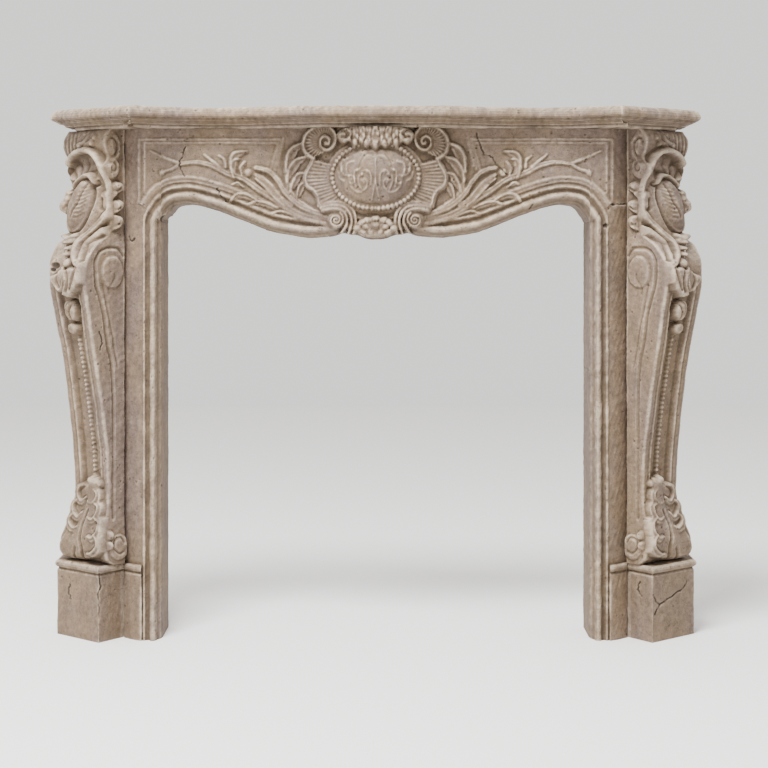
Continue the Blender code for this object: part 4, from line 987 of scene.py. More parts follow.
def shifted_plan(corners, shifts):
    """The corners of a plan after each edge moves outwards by its own shift."""
    corners = np.array(corners, float)
    run = np.roll(corners, -1, axis=0) - corners
    run /= np.hypot(run[:, 0], run[:, 1])[:, None]
    outward = np.column_stack([run[:, 1], -run[:, 0]])
    moved = []
    for index in range(len(corners)):
        n0, n1 = outward[index - 1], outward[index]
        s0, s1 = shifts[index - 1], shifts[index]
        cross = n0[0] * n1[1] - n0[1] * n1[0]
        if abs(cross) < TOUCH:
            moved.append(corners[index] + n1 * s1)
        else:
            step = np.array([s0 * n1[1] - s1 * n0[1], s1 * n0[0] - s0 * n1[0]]) / cross
            moved.append(corners[index] + step)
    return np.array(moved)


def ring_rows(corners, moulded, profile, step):
    """Rings round a plan at each of the profile's levels, with points at every step along its edges."""
    rows = []
    counts = None
    for proud, height in profile:
        plan = shifted_plan(corners, [proud if edge in moulded else 0.0 for edge in range(len(corners))])
        after = np.roll(plan, -1, axis=0)
        if counts is None:
            counts = [max(1, round(np.hypot(*(b - a)) / step)) for a, b in zip(plan, after)]
            if len(corners) - 1 not in moulded:
                counts[-1] = 1
        ring = np.vstack([a + (b - a) * np.linspace(0, 1, count + 1)[:-1, None]
                          for a, b, count in zip(plan, after, counts)])
        rows.append(np.column_stack([ring, np.full(len(ring), height)]))
    return np.array(rows)


def build_plinth(side, word, settings):
    """The block that a leg stands on, with its cap moulding round its three free sides."""
    joint = JAMB_OUTER + JOINT_GAP / 2
    corners = [(joint, JAMB_CORNER[1]), tuple(PLINTH_FRONT), tuple(PLINTH_SIDE),
               (PLINTH_SIDE[0], WALL_Y), (joint, WALL_Y)]
    moulded = {0, 1, 2}
    if side < 0:
        corners = [(-x, y) for x, y in reversed(corners)]
        moulded = {1, 2, 3}
    step = PLINTH_CELL * settings.coarseness
    rings = ring_rows(corners, moulded, finely(cap_profile(), step), step)
    piece = stone_mesh(f"{word}_capped_plinth", rings, True, settings, 31 + side, 0.002)
    place_piece(piece, f"{word}_plinth")


# The shelf

def shelf_nose():
    """The corners of the shelf's nose, from its left end at the wall round to its right end."""
    ease = np.linspace(0.0, 1.0, 15)
    swing = SHELF_MIDDLE_DEPTH - SHELF_RECESS_DEPTH
    back = [(SHELF_MIDDLE_HALF + (SHELF_RECESS_X - SHELF_MIDDLE_HALF) * share,
             SHELF_MIDDLE_DEPTH - swing * 0.5 * (1 - math.cos(math.pi * share))) for share in ease]
    reach = SHELF_DEPTH - SHELF_RECESS_DEPTH
    out = [(SHELF_RECESS_X + (SHELF_CORNER_X - SHELF_RECESS_X) * share,
            SHELF_RECESS_DEPTH + reach * share ** 1.8) for share in ease[1:]]
    right = back + out + [(SHELF_HIGH[0], SHELF_SIDE_DEPTH), (SHELF_HIGH[0], 0.0)]
    right = [(x, WALL_Y - depth) for x, depth in right]
    return [(-x, y) for x, y in reversed(right)] + right


def build_shelf(settings):
    """The shelf: a round nose over a fillet and a hollow, on a bed that is set back over the frieze."""
    corners = shelf_nose()
    profile = np.array([
        (-0.05, 0.0), (-0.05, 0.0062), (-0.03, 0.0068), (-0.0285, 0.0098), (-0.0225, 0.0128),
        (-0.0145, 0.0144), (-0.014, 0.0166), (-0.009, 0.0172), (-0.009, 0.0188), (-0.0035, 0.0202),
        (-0.0002, 0.0235), (0.0, 0.0275), (-0.0022, 0.0335), (-0.0065, 0.0385), (-0.014, SHELF_THICKNESS)])
    profile = finely(profile, SHELF_CELLS[0] * settings.coarseness)
    profile[:, 1] += SHELF_BOTTOM
    edges = set(range(len(corners) - 1))
    rows = ring_rows(corners, edges, profile, SHELF_CELLS[1] * settings.coarseness)
    narrow = rows[0][:, 0].max() / rows[-1][:, 0].max()
    foot = rows[-1] * (narrow, 0.0, 0.0) + (0.0, WALL_Y, SHELF_BOTTOM)
    head = rows[-1] * (1.0, 0.0, 1.0) + (0.0, WALL_Y, 0.0)
    under = [rows[0] + (foot - rows[0]) * part for part in SHELF_UNDER]
    over = [rows[-1] + (head - rows[-1]) * part for part in SHELF_OVER]
    points = np.concatenate([under, rows, over])
    place_piece(stone_mesh("moulded_shelf", points, False, settings, 41), "shelf")


# The legs

def leg_station(rise, part):
    """Depth (1), width (2) or side step (3) of the face at shares of the leg's height."""
    smooth = curve_through(np.array(LEG_STATIONS), 5)
    return np.interp(rise, smooth[:, 0], smooth[:, part])


def on_leg(places, relief, on_side=False):
    """Where sight lines through the drawing's squares meet a leg's face, or its inner side."""
    out_squares, up_squares = np.array(places, float).T
    out, across = np.full(len(out_squares), 0.06), np.zeros(len(out_squares))
    for _ in range(8):
        plan_y = LEG_CORNER[1] + out * OUTWARD[1] + across * ALONG[1]
        sight = (EYE_DISTANCE - (WALL_Y - plan_y)) * SIGHT
        x, z = out_squares * sight, EYE_HEIGHT + up_squares * sight
        rise = (z - LEG_FOOT) / LEG_HEIGHT
        if on_side:
            across = -leg_station(rise, 3) - relief
            out = (x - LEG_CORNER[0] - across * ALONG[0]) / OUTWARD[0]
        else:
            out = leg_station(rise, 1) + relief
            across = (x - LEG_CORNER[0] - out * OUTWARD[0]) / ALONG[0]
    if on_side:
        return np.column_stack([out, z])
    middle = leg_station(rise, 2) / 2 - leg_station(rise, 3)
    return np.column_stack([across - middle, z])


def leg_place(place, relief, on_side=False):
    """One place on a leg, from its place on the drawing."""
    return on_leg([place], relief, on_side)[0]


def leg_path(places, relief, on_side=False):
    """A smooth path on a leg through places on the drawing."""
    return curve_through(on_leg(places, relief, on_side))


def carve_leg_channel(carving):
    """The long hollow between the leg's raised borders, with its string of beads."""
    border, side_depth, side_run, middle_depth = 0.0245, 0.011, 0.005, 0.005
    line_off, line_half, line_depth = 0.0075, 0.0024, 0.0022
    channel_foot, channel_head = 0.13, 0.665
    bead_ends = LEG_FOOT + 0.192 * LEG_HEIGHT, LEG_FOOT + 0.536 * LEG_HEIGHT
    rise = (carving.v - LEG_FOOT) / LEG_HEIGHT
    hollow = leg_station(rise, 2) / 2 - border
    off = np.abs(carving.u)
    span = np.clip((rise - channel_foot) / 0.02, 0.0, 1.0) * np.clip((channel_head - rise) / 0.03, 0.0, 1.0)
    edge = np.clip((hollow - off) / side_run, 0.0, 1.0)
    middle = np.clip(1 - (off / hollow) ** 2, 0.0, 1.0)
    scoop = side_depth * np.sin(edge * math.pi / 2) + middle_depth * middle
    line = np.clip(1 - (np.abs(off - hollow - line_off) / line_half) ** 2, 0.0, 1.0)
    carving.height -= span * scoop
    carving.height -= span * line_depth * line
    carving.beads(np.array([(0.0, end) for end in bead_ends]), 0.0049, 0.0097, -0.015, 0.0075)


def carve_leg_head(carving):
    """The roll at the leg's head, fluted at its outer end, with a small leaf."""
    for out in (313, 309.5, 306, 302.5, 299):
        line = leg_path([(out - 2.0, 119), (out + 1.0, 108), (out - 1.5, 92)], 0.0)
        carving.groove(line, 0.0042, 0.0042)
    for path in (((299, 104), (293, 108), (288, 116)), ((291, 104), (286, 109), (284, 117))):
        carving.rib(leg_path(path, 0.005), 0.0065, 0.005, 0.7)
    for out, up in ((283, 113), (288, 118), (292, 117), (297, 103), (291, 102), (285, 106)):
        carving.dome(leg_place((out, up), 0.005), (0.0075, 0.005), 0.0085, 0.5, 0.6)


def shield_depth(rise):
    """How far the shield's middle stands out from the jamb's corner, at shares of the leg's height."""
    return np.interp(rise, (0.6, 0.631, 0.681, 0.708, 0.733, 0.763, 0.826, 0.868, 0.931, 0.954),
                     (0.118, 0.122, 0.121, 0.112, 0.098, 0.084, 0.074, 0.07, 0.066, 0.064))


def standing_path(places, steps=6):
    """A smooth path in front of a leg, from places on the drawing with their depths from the corner."""
    places = np.array(places, float)
    out_squares, up_squares, out = places.T
    across = np.zeros(len(places))
    for _ in range(6):
        sight = (EYE_DISTANCE - (WALL_Y - LEG_CORNER[1] - out * OUTWARD[1] - across * ALONG[1])) * SIGHT
        across = (out_squares * sight - LEG_CORNER[0] - out * OUTWARD[0]) / ALONG[0]
    z = EYE_HEIGHT + up_squares * sight
    rise = (z - LEG_FOOT) / LEG_HEIGHT
    u = across - leg_station(rise, 2) / 2 + leg_station(rise, 3)
    return curve_through(np.column_stack([u, z, out]), steps)


def carve_leg_hood(carving):
    """The hood over the egg: a round rim, broad flutes inside it, and the band that frames the shield."""
    mouth = standing_path([
        (309.0, 72, 0.05), (310.0, 84, 0.06), (306, 93, 0.064), (297, 97, 0.064), (288, 95, 0.064),
        (281, 87, 0.062), (276, 74, 0.056), (283, 68, 0.06), (292, 73, 0.062), (302, 69, 0.056),
        (309.0, 72, 0.05)])[:, :2]
    inside, _ = carving.within(mouth)
    foot = leg_place((292, 64), 0.0)
    turn = np.arctan2(carving.u - foot[0], carving.v - foot[1])
    up = (carving.v - foot[1]) / 0.065
    flutes = 0.0048 * np.abs(np.cos(turn * 5.4 + 0.3))
    bowl = np.interp(up, (0.0, 0.35, 0.75, 1.1), (0.058, 0.046, 0.04, 0.044)) + flutes - carving.ground
    carving.sink(inside, bowl[inside])
    rim = standing_path([
        (309.0, 72, 0.052), (311.0, 81, 0.06), (309.0, 90, 0.066), (303, 97.0, 0.069), (295, 99.5, 0.07),
        (287.5, 97.5, 0.07), (282.0, 91.5, 0.069), (277.6, 83, 0.067), (273.2, 75, 0.064),
        (270.0, 69, 0.059)])
    carving.strip(rim, 0.0062, 0.004)
    frame = standing_path([
        (282.5, 93, 0.066), (276.0, 84, 0.066), (271.5, 75, 0.064), (268.6, 65, 0.06), (266.8, 54, 0.056),
        (267.2, 45, 0.056), (270.8, 35, 0.058), (276.8, 27, 0.062), (287.5, 17.5, 0.077),
        (298.0, 9, 0.098)])
    carving.flange(frame, 0.03, 0.013)


def carve_leg_shield(carving):
    """The long egg under the hood, and the frame with its curls that runs down to the knee."""
    rise = (carving.v - LEG_FOOT) / LEG_HEIGHT
    middle = np.clip(shield_depth(rise) - carving.ground, 0.0, 0.05)
    inward = carving.u + leg_station(rise, 2) / 2
    climb = np.clip(inward / 0.046, 0.0, 1.0)
    bowl = middle * (0.04 + 0.58 * climb * climb * (3 - 2 * climb))
    outline = standing_path([
        (309, 56, 0.052), (304, 65, 0.056), (300, 70, 0.058), (294, 74, 0.06), (288.5, 73.5, 0.06),
        (284, 68, 0.058), (280, 63, 0.056), (273, 66, 0.052), (269.5, 60, 0.05),
        (269.7, 44, 0.048), (277, 27, 0.056), (290, 15, 0.072), (300, 7, 0.098), (304, -3, 0.112),
        (303, -12, 0.124), (309, -14, 0.124), (314, 5, 0.1), (316, 25, 0.08), (313, 42, 0.07),
        (310, 52, 0.056), (309, 56, 0.052)])[:, :2]
    inside, _ = carving.within(outline)
    carving.lay(inside, bowl[inside])
    top, foot = on_leg([(296.0, 68), (311.5, 19)], 0.034)
    centre, reach = (top + foot) / 2, np.hypot(*(top - foot)) / 2 + 0.004
    lean = math.atan2(foot[0] - top[0], top[1] - foot[1])
    turn = np.linspace(0.0, 2 * math.pi, 41)
    along, across = (reach + 0.003) * np.cos(turn), 0.039 * np.sin(turn)
    ring = np.column_stack([centre[0] + across * math.cos(lean) - along * math.sin(lean),
                            centre[1] + across * math.sin(lean) + along * math.cos(lean)])
    carving.groove(ring, 0.0055, 0.009)
    rim = standing_path([(272.6, 35, 0.058), (278.8, 27, 0.062), (289, 17.5, 0.077), (300, 8.5, 0.1),
                         (305, -3, 0.118), (302.5, -13, 0.131), (297, -17, 0.133)])
    carving.strip(rim, 0.0075, 0.006)
    carving.dome(centre, (0.0365, reach), 0.037, 0.42, lean)
    lip = standing_path([(301, 68, 0.064), (294.5, 74.3, 0.071), (288.5, 74, 0.071), (283.5, 67, 0.064)])
    carving.strip(lip, 0.0038, 0.004)
    split = leg_path([(296, 66), (298, 55), (300, 47), (304, 40), (307, 33)], 0.038)
    carving.groove(split, 0.0026, 0.0045)
    for step in range(8):
        root = np.array([297.5 + 0.9 * step, 62.0 - 4.2 * step])
        line = leg_path([root, root + (-4.5, 1.0), root + (-7.5, 4.5)], 0.036)
        carving.groove(line, 0.0019, 0.003)
    lobe = standing_path([(276.0, 54, 0.062), (275.0, 46, 0.058)])[:, :2]
    carving.groove(lobe, 0.0125, -0.0075)
    carving.groove(lobe + (0.006, -0.008), 0.006, 0.009)
    carving.strip(standing_path([(311, 50, 0.068), (314, 47, 0.074), (315, 42, 0.074), (312, 40, 0.07)]),
                  0.009, 0.006)
    carving.strip(standing_path([(308, 66, 0.05), (312, 72, 0.053), (312, 80, 0.053)]), 0.0085, 0.006)
    carving.groove(on_leg([(307, 63), (305, 61)], 0.014), 0.008, 0.012)


def carve_leg_knee(carving):
    """Below the shield: the long leaf, the bell flowers, and what hangs over the knee."""
    leaf = standing_path([(299, -10, 0.124), (295.8, -2, 0.11), (291.8, 6, 0.092), (282.4, 14, 0.076),
                          (273.1, 20.7, 0.066), (269.5, 18, 0.06)])
    carving.strip(leaf, 0.0078, 0.008)
    carving.strip(standing_path([(305, 14, 0.092), (310.6, 11, 0.098), (315, 14, 0.092)]), 0.005, 0.006)
    bells = ((309.5, 9, 0.013, 0.0085, 0.034), (310.3, 2.0, 0.011, 0.0065, 0.03),
             (311.0, -4, 0.009, 0.0065, 0.026), (310, -13, 0.012, 0.012, 0.022))
    for out, up, wide, tall, height in bells:
        carving.dome(leg_place((out, up), height - 0.004), (wide, tall), height, 0.45)
    carving.dome(leg_place((297, -16), 0.014), (0.014, 0.008), 0.019, 0.4, 0.4)
    carving.groove(leg_path([(301, -12), (297.5, -15), (293.5, -12.5)], 0.016), 0.0024, 0.005)
    inner = on_leg([
        (312.0, -19.6), (305.4, -17), (295.7, -18.6), (294.5, -24.5), (297.5, -27), (296.7, -32.5),
        (299.8, -35), (300.2, -40), (303.5, -42), (306.4, -48.2), (314.1, -45.6), (311.5, -34.9),
        (312.5, -26.7), (312.0, -19.6)], 0.015)
    outer = on_leg([
        (313, -17.6), (317.1, -20.6), (320.7, -23.7), (325.8, -25.7), (326.3, -28.8), (321.7, -36.9),
        (317.6, -43), (314.6, -40), (313.2, -30.8), (313, -17.6)], 0.013)
    carving.pillow(inner, 0.019, 0.0055, 0.55)
    carving.pillow(outer, 0.016, 0.005, 0.5)
    carving.rib(leg_path([(314, -18), (313.5, -28), (315, -38)], 0.018), 0.0045, 0.019)
    veins = ((((309.5, -22), (308, -31), (309.5, -41)), 0.0065, 0.005),
             (((301, -21), (303.5, -30), (306, -40)), 0.0055, 0.0045),
             (((319.5, -24), (320, -31), (318, -37)), 0.0055, 0.006))
    for path, wide, deep in veins:
        carving.groove(leg_path(path, 0.016), wide, deep)
    carving.dome(leg_place((303, -60.5), -0.002), (0.0185, 0.0235), 0.014, 0.5)
    for path in (((306.5, -50), (310, -60), (307, -70)), ((303, -50), (304.5, -60), (304, -72)),
                 ((299.5, -51), (297.5, -60), (300, -70))):
        carving.groove(leg_path(path, 0.006), 0.0026, 0.0045)
    carving.dome(leg_place((300.5, -78.5), -0.006), (0.014, 0.013), 0.007, 0.5)


def carve_leg_foot(carving):
    """The acanthus leaf that climbs from the foot scroll, with its curled lobes."""
    outline = on_leg([
        (288, -233), (283.5, -231), (280, -236), (278, -247), (277, -262), (276.5, -278), (277, -292),
        (279, -306), (292, -315), (312, -314), (318, -300), (311, -281), (306, -266), (301, -252),
        (295, -237), (288, -233)], 0.006)
    inside, off = carving.within(outline)
    carving.lay(inside, (0.0085 * np.sqrt(np.clip(off / 0.008, 0.0, 1.0)))[inside])
    lobes = (
        (((288, -251), (284, -253), (280, -249), (278.8, -243.5), (281.5, -239)), 0.012, 1),
        (((288, -267), (284, -269), (279.5, -263), (278.2, -257), (281.5, -252.5)), 0.014, 1),
        (((289, -286), (284, -287), (279, -280), (278, -273), (281.5, -267)), 0.015, 1),
        (((290, -304), (285, -303), (280, -297), (279.4, -291), (282, -284.5)), 0.014, 1),
        (((290, -247), (294.5, -250), (297.2, -244), (296.5, -238), (292.6, -234.5)), 0.013, -1),
        (((294, -262), (298, -266), (302, -259), (301.5, -253), (298, -249.5)), 0.015, -1),
        (((298, -276), (302, -277), (306, -271), (304.5, -265.5), (301, -263.5)), 0.015, -1),
    )
    for path, width, side in lobes:
        carving.groove(leg_path(path[:3], 0.01), 0.005, 0.005)
        carving.blade(leg_path(path, 0.012), width, 0.017, side, 0.45, 0.005)
    for out, up in ((280.8, -231.0), (286.2, -230.0), (276.6, -234)):
        carving.dome(leg_place((out, up), 0.008), (0.008, 0.0085), 0.012)
    carving.rib(leg_path([(283, -236), (284, -250), (288, -264), (296, -280), (302, -296),
                                      (303, -312)], 0.012), 0.017, 0.015, 1.6, 0.012)
    stem = leg_path([(287.2, -260), (292.6, -273), (296, -286), (295.5, -297), (292.6, -309)], 0.012)
    carving.groove(stem, 0.0036, 0.006)
    carving.groove(leg_path([(301, -297), (299, -309)], 0.012), 0.0036, 0.005)


def carve_leg_side(carving):
    """The volutes and lines on a leg's inner side: u is the distance out from the jamb, v is up."""
    head = leg_place((264.5, 103), 0.0, True)
    carving.dome(head, (0.023, 0.035), 0.0085, 0.14)
    turn = np.linspace(0.0, 2 * math.pi, 37)
    carving.groove(head + np.column_stack([0.0115 * np.cos(turn), 0.02 * np.sin(turn)]), 0.0042, 0.006)
    ear = leg_place((263.7, 82.3), 0.004, True)
    carving.dome(ear, (0.02, 0.0235), 0.011, 0.22)
    carving.groove(spiral_path(ear, 0.0135, 0.8, math.radians(60), 0.35), 0.0028, 0.0035)
    curls = (
        ((257.2, 62.5), 0.0165, 0.0125, 0.3, ((268, 50), (263, 55), (258, 62))),
        ((257.8, 43.5), 0.021, 0.012, 0.5, ((271, 33), (265, 38), (258, 44))),
        ((259.5, 27.0), 0.025, 0.0155, 0.3, ((274, 19), (268, 22), (260, 28))),
    )
    for centre, wide, tall, lean, tail in curls:
        carving.dome(leg_place(centre, 0.01, True), (wide, tall), 0.016, 0.35, -lean)
        carving.rib(leg_path(tail, 0.008, True), 0.008, 0.011, 1.2)
        out, up = centre
        dent = leg_path([(out + 5.0, up - 1.5), (out + 0.5, up - 3.0), (out - 3.0, up - 1.0)], 0.012, True)
        carving.groove(dent, 0.0042, 0.006)
    eye = leg_place((263.8, -22), 0.0, True)
    outer = [(252.0, -6), (257, 1), (262.5, 2.3), (268.7, 2.0), (274.8, -1.2), (279, -8), (280.4, -16.5),
             (279.4, -34.9), (275.8, -48.2), (271.7, -65.5), (269.7, -81.8), (267.6, -96.1),
             (264.6, -110.4), (263, -128.8), (262, -170), (262.3, -230), (262, -268)]
    carving.groove(leg_path(outer, 0.0, True), 0.0045, 0.0045)
    carving.dome(eye, (0.03, 0.0345), 0.006, 0.22)
    inner = [(272.7, -34.9), (269.7, -51.2), (265.6, -71.6), (262.5, -88), (260, -105.3), (258, -117)]
    carving.groove(leg_path(inner, 0.0, True), 0.003, 0.0026)
    swirl = leg_path([(266, -44), (266.5, -36), (262, -28), (262.5, -24)], 0.0, True)
    carving.groove(swirl, 0.003, 0.002)
    knob = leg_place((257, -297), 0.0, True)
    carving.dome(knob, (0.027, 0.027), 0.007, 0.25)
    carving.groove(leg_path([(253, -292), (256, -287), (262, -290), (263, -298), (258, -303),
                                         (253.5, -301)], 0.0, True), 0.003, 0.004)
    for out, up in ((265.6, -285.8), (266.6, -296)):
        carving.dome(leg_place((out, up), 0.004, True), (0.012, 0.01), 0.012, 0.45)


def leg_points(settings):
    """Rings of a right-hand leg, from its foot up: inner side, face, outer side, wall."""
    rise = shares(LEG_ROWS, settings)
    z = (LEG_FOOT + LEG_HEIGHT * rise)[:, None]
    depth, width, step = (leg_station(rise, part)[:, None] for part in (1, 2, 3))
    lips = np.array(LEG_LIPS)
    inner_lip, outer_lip = (np.interp(rise, lips[:, 0], lips[:, part])[:, None] for part in (1, 2))
    ends = (np.clip(rise / 0.006, 0.0, 1.0) * np.clip((1 - rise) / 0.03, 0.0, 1.0))[:, None]

    def place(out, across, height):
        plan = LEG_CORNER + out[..., None] * OUTWARD + across[..., None] * ALONG
        return np.dstack([plan[..., 0], plan[..., 1], np.broadcast_to(height, out.shape)])

    ease = shares(LEG_SIDE_COLUMNS, settings)[None, :]
    out = ease * (depth - LEG_ARRIS)
    inner = Carving(out, np.broadcast_to(z, out.shape))
    carve_leg_side(inner)
    ramp = np.clip(out / 0.009, 0.0, 1.0) ** 0.7
    near_face = np.clip((1 - ease) * 5, 0.0, 1.0)
    overhang = inner_lip * np.clip(ease * 3.0 - 2.0, 0.0, 1.0) ** 2
    relief = box_blur(inner.height, 1, False) * ends * near_face
    inner_points = place(out, -(step + overhang + relief) * ramp, z)

    ease = shares(LEG_FACE_COLUMNS, settings)[None, :]
    wide = width + inner_lip + outer_lip
    across = LEG_ARRIS * 0.3 + ease * (wide - LEG_ARRIS * 0.6)
    face = Carving(across - inner_lip - width / 2, np.broadcast_to(z, across.shape), depth)
    for carve in (carve_leg_channel, carve_leg_head, carve_leg_hood, carve_leg_shield, carve_leg_knee,
                  carve_leg_foot):
        carve(face)
    edge = np.clip(np.minimum(across, wide - across), 0.0, LEG_ARRIS)
    rounding = LEG_ARRIS - np.sqrt(LEG_ARRIS ** 2 - (LEG_ARRIS - edge) ** 2)
    face_points = place(depth - rounding + box_blur(face.height, 1, False) * ends,
                        across - step - inner_lip, z)

    ease = shares(LEG_OUTER_COLUMNS, settings)[None, :]
    out = (1 - ease) * (depth - LEG_ARRIS)
    overhang = outer_lip * np.clip(1.0 - ease * 3.0, 0.0, 1.0)
    outer_points = place(out, width - step + overhang, z)
    side_x = PLINTH_SIDE[0] - LEG_RECESS
    return_x = np.minimum(side_x, outer_points[:, -1:, 0])
    spans = np.linspace(0.0, 1.0, 5)[None, :]
    return_y = outer_points[:, -1:, 1] + (WALL_Y - outer_points[:, -1:, 1]) * spans
    return_points = np.dstack([np.broadcast_to(return_x, return_y.shape), return_y,
                               np.broadcast_to(z, return_y.shape)])
    wall_points = np.dstack([np.full(z.shape, LEG_CORNER[0]), np.full(z.shape, WALL_Y), z])
    return np.concatenate(
        [inner_points, face_points, outer_points[:, :-1], return_points, wall_points], axis=1)


def build_leg(side, word, settings):
    """A leg, which on the left is the right one mirrored."""
    rings = leg_points(settings)
    if side < 0:
        rings = rings[:, ::-1] * np.array([-1.0, 1.0, 1.0])
    place_piece(stone_mesh(f"{word}_carved_leg", rings, True, settings, 51 + side), f"{word}_leg")


# The stage

def build_stage(settings):
    """The floor, the light of the room, the lamps and the camera."""
    mesh = bpy.data.meshes.new("pale_floor")
    reach = 6.0
    corners = [(-reach, -reach, 0.0), (reach, -reach, 0.0), (reach, reach, 0.0), (-reach, reach, 0.0)]
    mesh.from_pydata(corners, [], [(0, 1, 2, 3)])
    floor = bpy.data.objects.new("pale_floor", mesh)
    bpy.context.scene.collection.objects.link(floor)
    plain = bpy.data.materials.new("pale floor")
    plain.use_nodes = True
    paint = plain.node_tree.nodes["Principled BSDF"].inputs
    paint["Base Color"].default_value = (0.86, 0.85, 0.84, 1.0)
    paint["Roughness"].default_value = 0.9
    mesh.materials.append(plain)

    world = bpy.data.worlds.new("soft studio")
    world.use_nodes = True
    glow = world.node_tree.nodes["Background"].inputs
    glow["Color"].default_value = (1.0, 0.99, 0.97, 1.0)
    glow["Strength"].default_value = settings.room_light
    bpy.context.scene.world = world
    aim = np.array([0.0, 0.0, 0.6])
    lamps = (("key lamp", (-0.9, -2.3, 4.2), 1.6, settings.key_light),
             ("fill lamp", (-2.8, -3.0, 1.6), 2.4, settings.fill_light))
    for name, place, size, power in lamps:
        lamp = bpy.data.lights.new(name, "AREA")
        lamp.size = size
        lamp.energy = power
        holder = bpy.data.objects.new(name, lamp)
        look_at(holder, np.array(place), aim)
        bpy.context.scene.collection.objects.link(holder)

    lens = bpy.data.cameras.new("front camera")
    lens.lens = SENSOR_WIDTH / (PICTURE_WIDTH * SIGHT)
    lens.sensor_width = SENSOR_WIDTH
    lens.shift_y = -PICTURE_DROP / PICTURE_WIDTH
    camera = bpy.data.objects.new("front camera", lens)
    camera.location = (EYE_SIDE, WALL_Y - EYE_DISTANCE, EYE_HEIGHT)
    camera.rotation_euler = (math.radians(90), 0.0, 0.0)
    bpy.context.scene.collection.objects.link(camera)
    bpy.context.scene.camera = camera


def look_at(holder, place, aim):
    """Stands a lamp at a place and turns it to shine on the aim."""
    run = aim - place
    flat = math.hypot(run[0], run[1])
    holder.location = place
    holder.rotation_euler = (math.atan2(flat, -run[2]), 0.0, math.atan2(-run[0], run[1]))


# The settings, the operators and their panel

def colour_setting(name, description, default):
    """A setting that is a colour."""
    return bpy.props.FloatVectorProperty(
        name=name, description=description, subtype="COLOR", size=3, min=0.0, max=1.0, default=default)


def amount_setting(name, description, low, high, default, **kind):
    """A setting that is a number between low and high."""
    return bpy.props.FloatProperty(
        name=name, description=description, min=low, max=high, default=default, **kind)


def power_setting(name, description, default):
    """A setting that is the power of a lamp."""
    return amount_setting(name, description, 0.0, 2000.0, default, subtype="POWER", unit="POWER")


class MantelStone(bpy.types.PropertyGroup):
    stone_colour: colour_setting("Stone", "Main colour of the stone", (0.15, 0.104, 0.07))
    warm_colour: colour_setting("Warm patches", "Colour of the warm patches", (0.162, 0.111, 0.069))
    cool_colour: colour_setting("Cool patches", "Colour of the pink-grey patches", (0.137, 0.097, 0.077))
    # Pale colour for rubbed edges, painted highlights and painted light on top sides
    wear_and_painted_light_colour: colour_setting("Worn edges", "Colour where the stone is rubbed pale", (0.52, 0.425, 0.32))
    # Olive colour for staining and for painted shade in the hollows and under things
    stain_and_shade_colour: colour_setting("Stain", "Olive brown colour of the stain", (0.15, 0.108, 0.058))
    # Dark colour for grime, specks, veins and cracks, and for painted shade deep in the hollows; the amount
    # below sets how much the hollows get
    dirt_and_shade_colour: colour_setting("Dirt", "Colour of the dirt in the hollows", (0.038, 0.024, 0.014))
    dirt_and_shade: amount_setting("Dirt amount", "How much dirt the hollows hold", 0.0, 1.0, 0.75, subtype="FACTOR")
    pits: amount_setting("Pits", "How many small pits the surface has", 0.0, 4.0, 1.0)
    coarseness: amount_setting("Coarseness", "How much wider than normal the mesh is spaced", 1.0, 6.0, 1.0)


class MantelStage(bpy.types.PropertyGroup):
    room_light: amount_setting("Room light", "Strength of the light from all round", 0.0, 5.0, 1.25)
    key_light: power_setting("Key light", "Power of the lamp high in front", 520.0)
    fill_light: power_setting("Fill light", "Power of the lamp at the left", 60.0)


def build_pair(build, settings):
    for side, word in ((-1, "left"), (1, "right")):
        build(side, word, settings)


class MANTEL_OT_shelf(bpy.types.Operator):
    """Builds the moulded shelf"""
    bl_idname = "mantel.shelf"
    bl_label = "Shelf"

    def execute(self, context):
        build_shelf(context.scene.mantel_stone)
        return {"FINISHED"}


class MANTEL_OT_frieze(bpy.types.Operator):
    """Builds the carved frieze"""
    bl_idname = "mantel.frieze"
    bl_label = "Frieze"

    def execute(self, context):
        build_frieze(context.scene.mantel_stone)
        return {"FINISHED"}


class MANTEL_OT_jambs(bpy.types.Operator):
    """Builds the two moulded jambs"""
    bl_idname = "mantel.jambs"
    bl_label = "Jambs"

    def execute(self, context):
        build_pair(build_jamb, context.scene.mantel_stone)
        return {"FINISHED"}


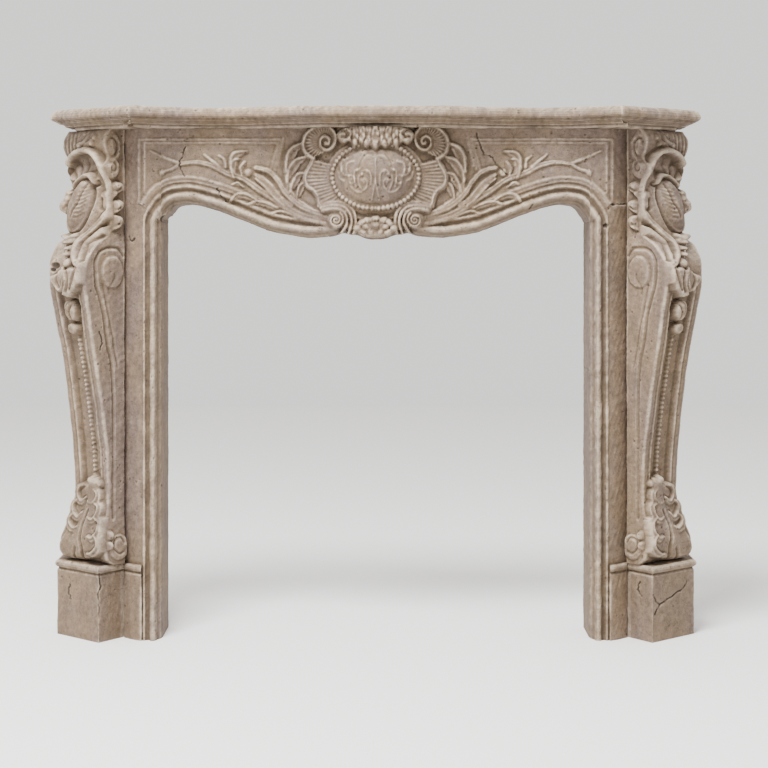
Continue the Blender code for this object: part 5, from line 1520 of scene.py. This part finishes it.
class MANTEL_OT_legs(bpy.types.Operator):
    """Builds the two carved legs"""
    bl_idname = "mantel.legs"
    bl_label = "Legs"

    def execute(self, context):
        build_pair(build_leg, context.scene.mantel_stone)
        return {"FINISHED"}


class MANTEL_OT_plinths(bpy.types.Operator):
    """Builds the two plinths"""
    bl_idname = "mantel.plinths"
    bl_label = "Plinths"

    def execute(self, context):
        build_pair(build_plinth, context.scene.mantel_stone)
        return {"FINISHED"}


class MANTEL_OT_stage(bpy.types.Operator):
    """Sets out the floor, the lamps and the camera"""
    bl_idname = "mantel.stage"
    bl_label = "Stage"

    def execute(self, context):
        build_stage(context.scene.mantel_stage)
        return {"FINISHED"}


OPERATORS = (MANTEL_OT_shelf, MANTEL_OT_frieze, MANTEL_OT_jambs, MANTEL_OT_legs, MANTEL_OT_plinths,
             MANTEL_OT_stage)


class MANTEL_PT_panel(bpy.types.Panel):
    """Lists the settings and the stones"""
    bl_idname = "MANTEL_PT_panel"
    bl_label = "Mantel"
    bl_space_type = "VIEW_3D"
    bl_region_type = "UI"
    bl_category = "Mantel"

    def draw(self, context):
        for settings in (context.scene.mantel_stone, context.scene.mantel_stage):
            for title in settings.__annotations__:
                self.layout.prop(settings, title)
        for operator in OPERATORS:
            self.layout.operator(operator.bl_idname)


CLASSES = (MantelStone, MantelStage) + OPERATORS + (MANTEL_PT_panel,)


def register():
    for kind in CLASSES:
        bpy.utils.register_class(kind)
    bpy.types.Scene.mantel_stone = bpy.props.PointerProperty(type=MantelStone)
    bpy.types.Scene.mantel_stage = bpy.props.PointerProperty(type=MantelStage)


def unregister():
    del bpy.types.Scene.mantel_stage
    del bpy.types.Scene.mantel_stone
    for kind in reversed(CLASSES):
        bpy.utils.unregister_class(kind)


def main():
    register()
    bpy.ops.mantel.shelf()
    bpy.ops.mantel.frieze()
    bpy.ops.mantel.jambs()
    bpy.ops.mantel.legs()
    bpy.ops.mantel.plinths()
    bpy.ops.mantel.stage()


if __name__ == "__main__":
    main()
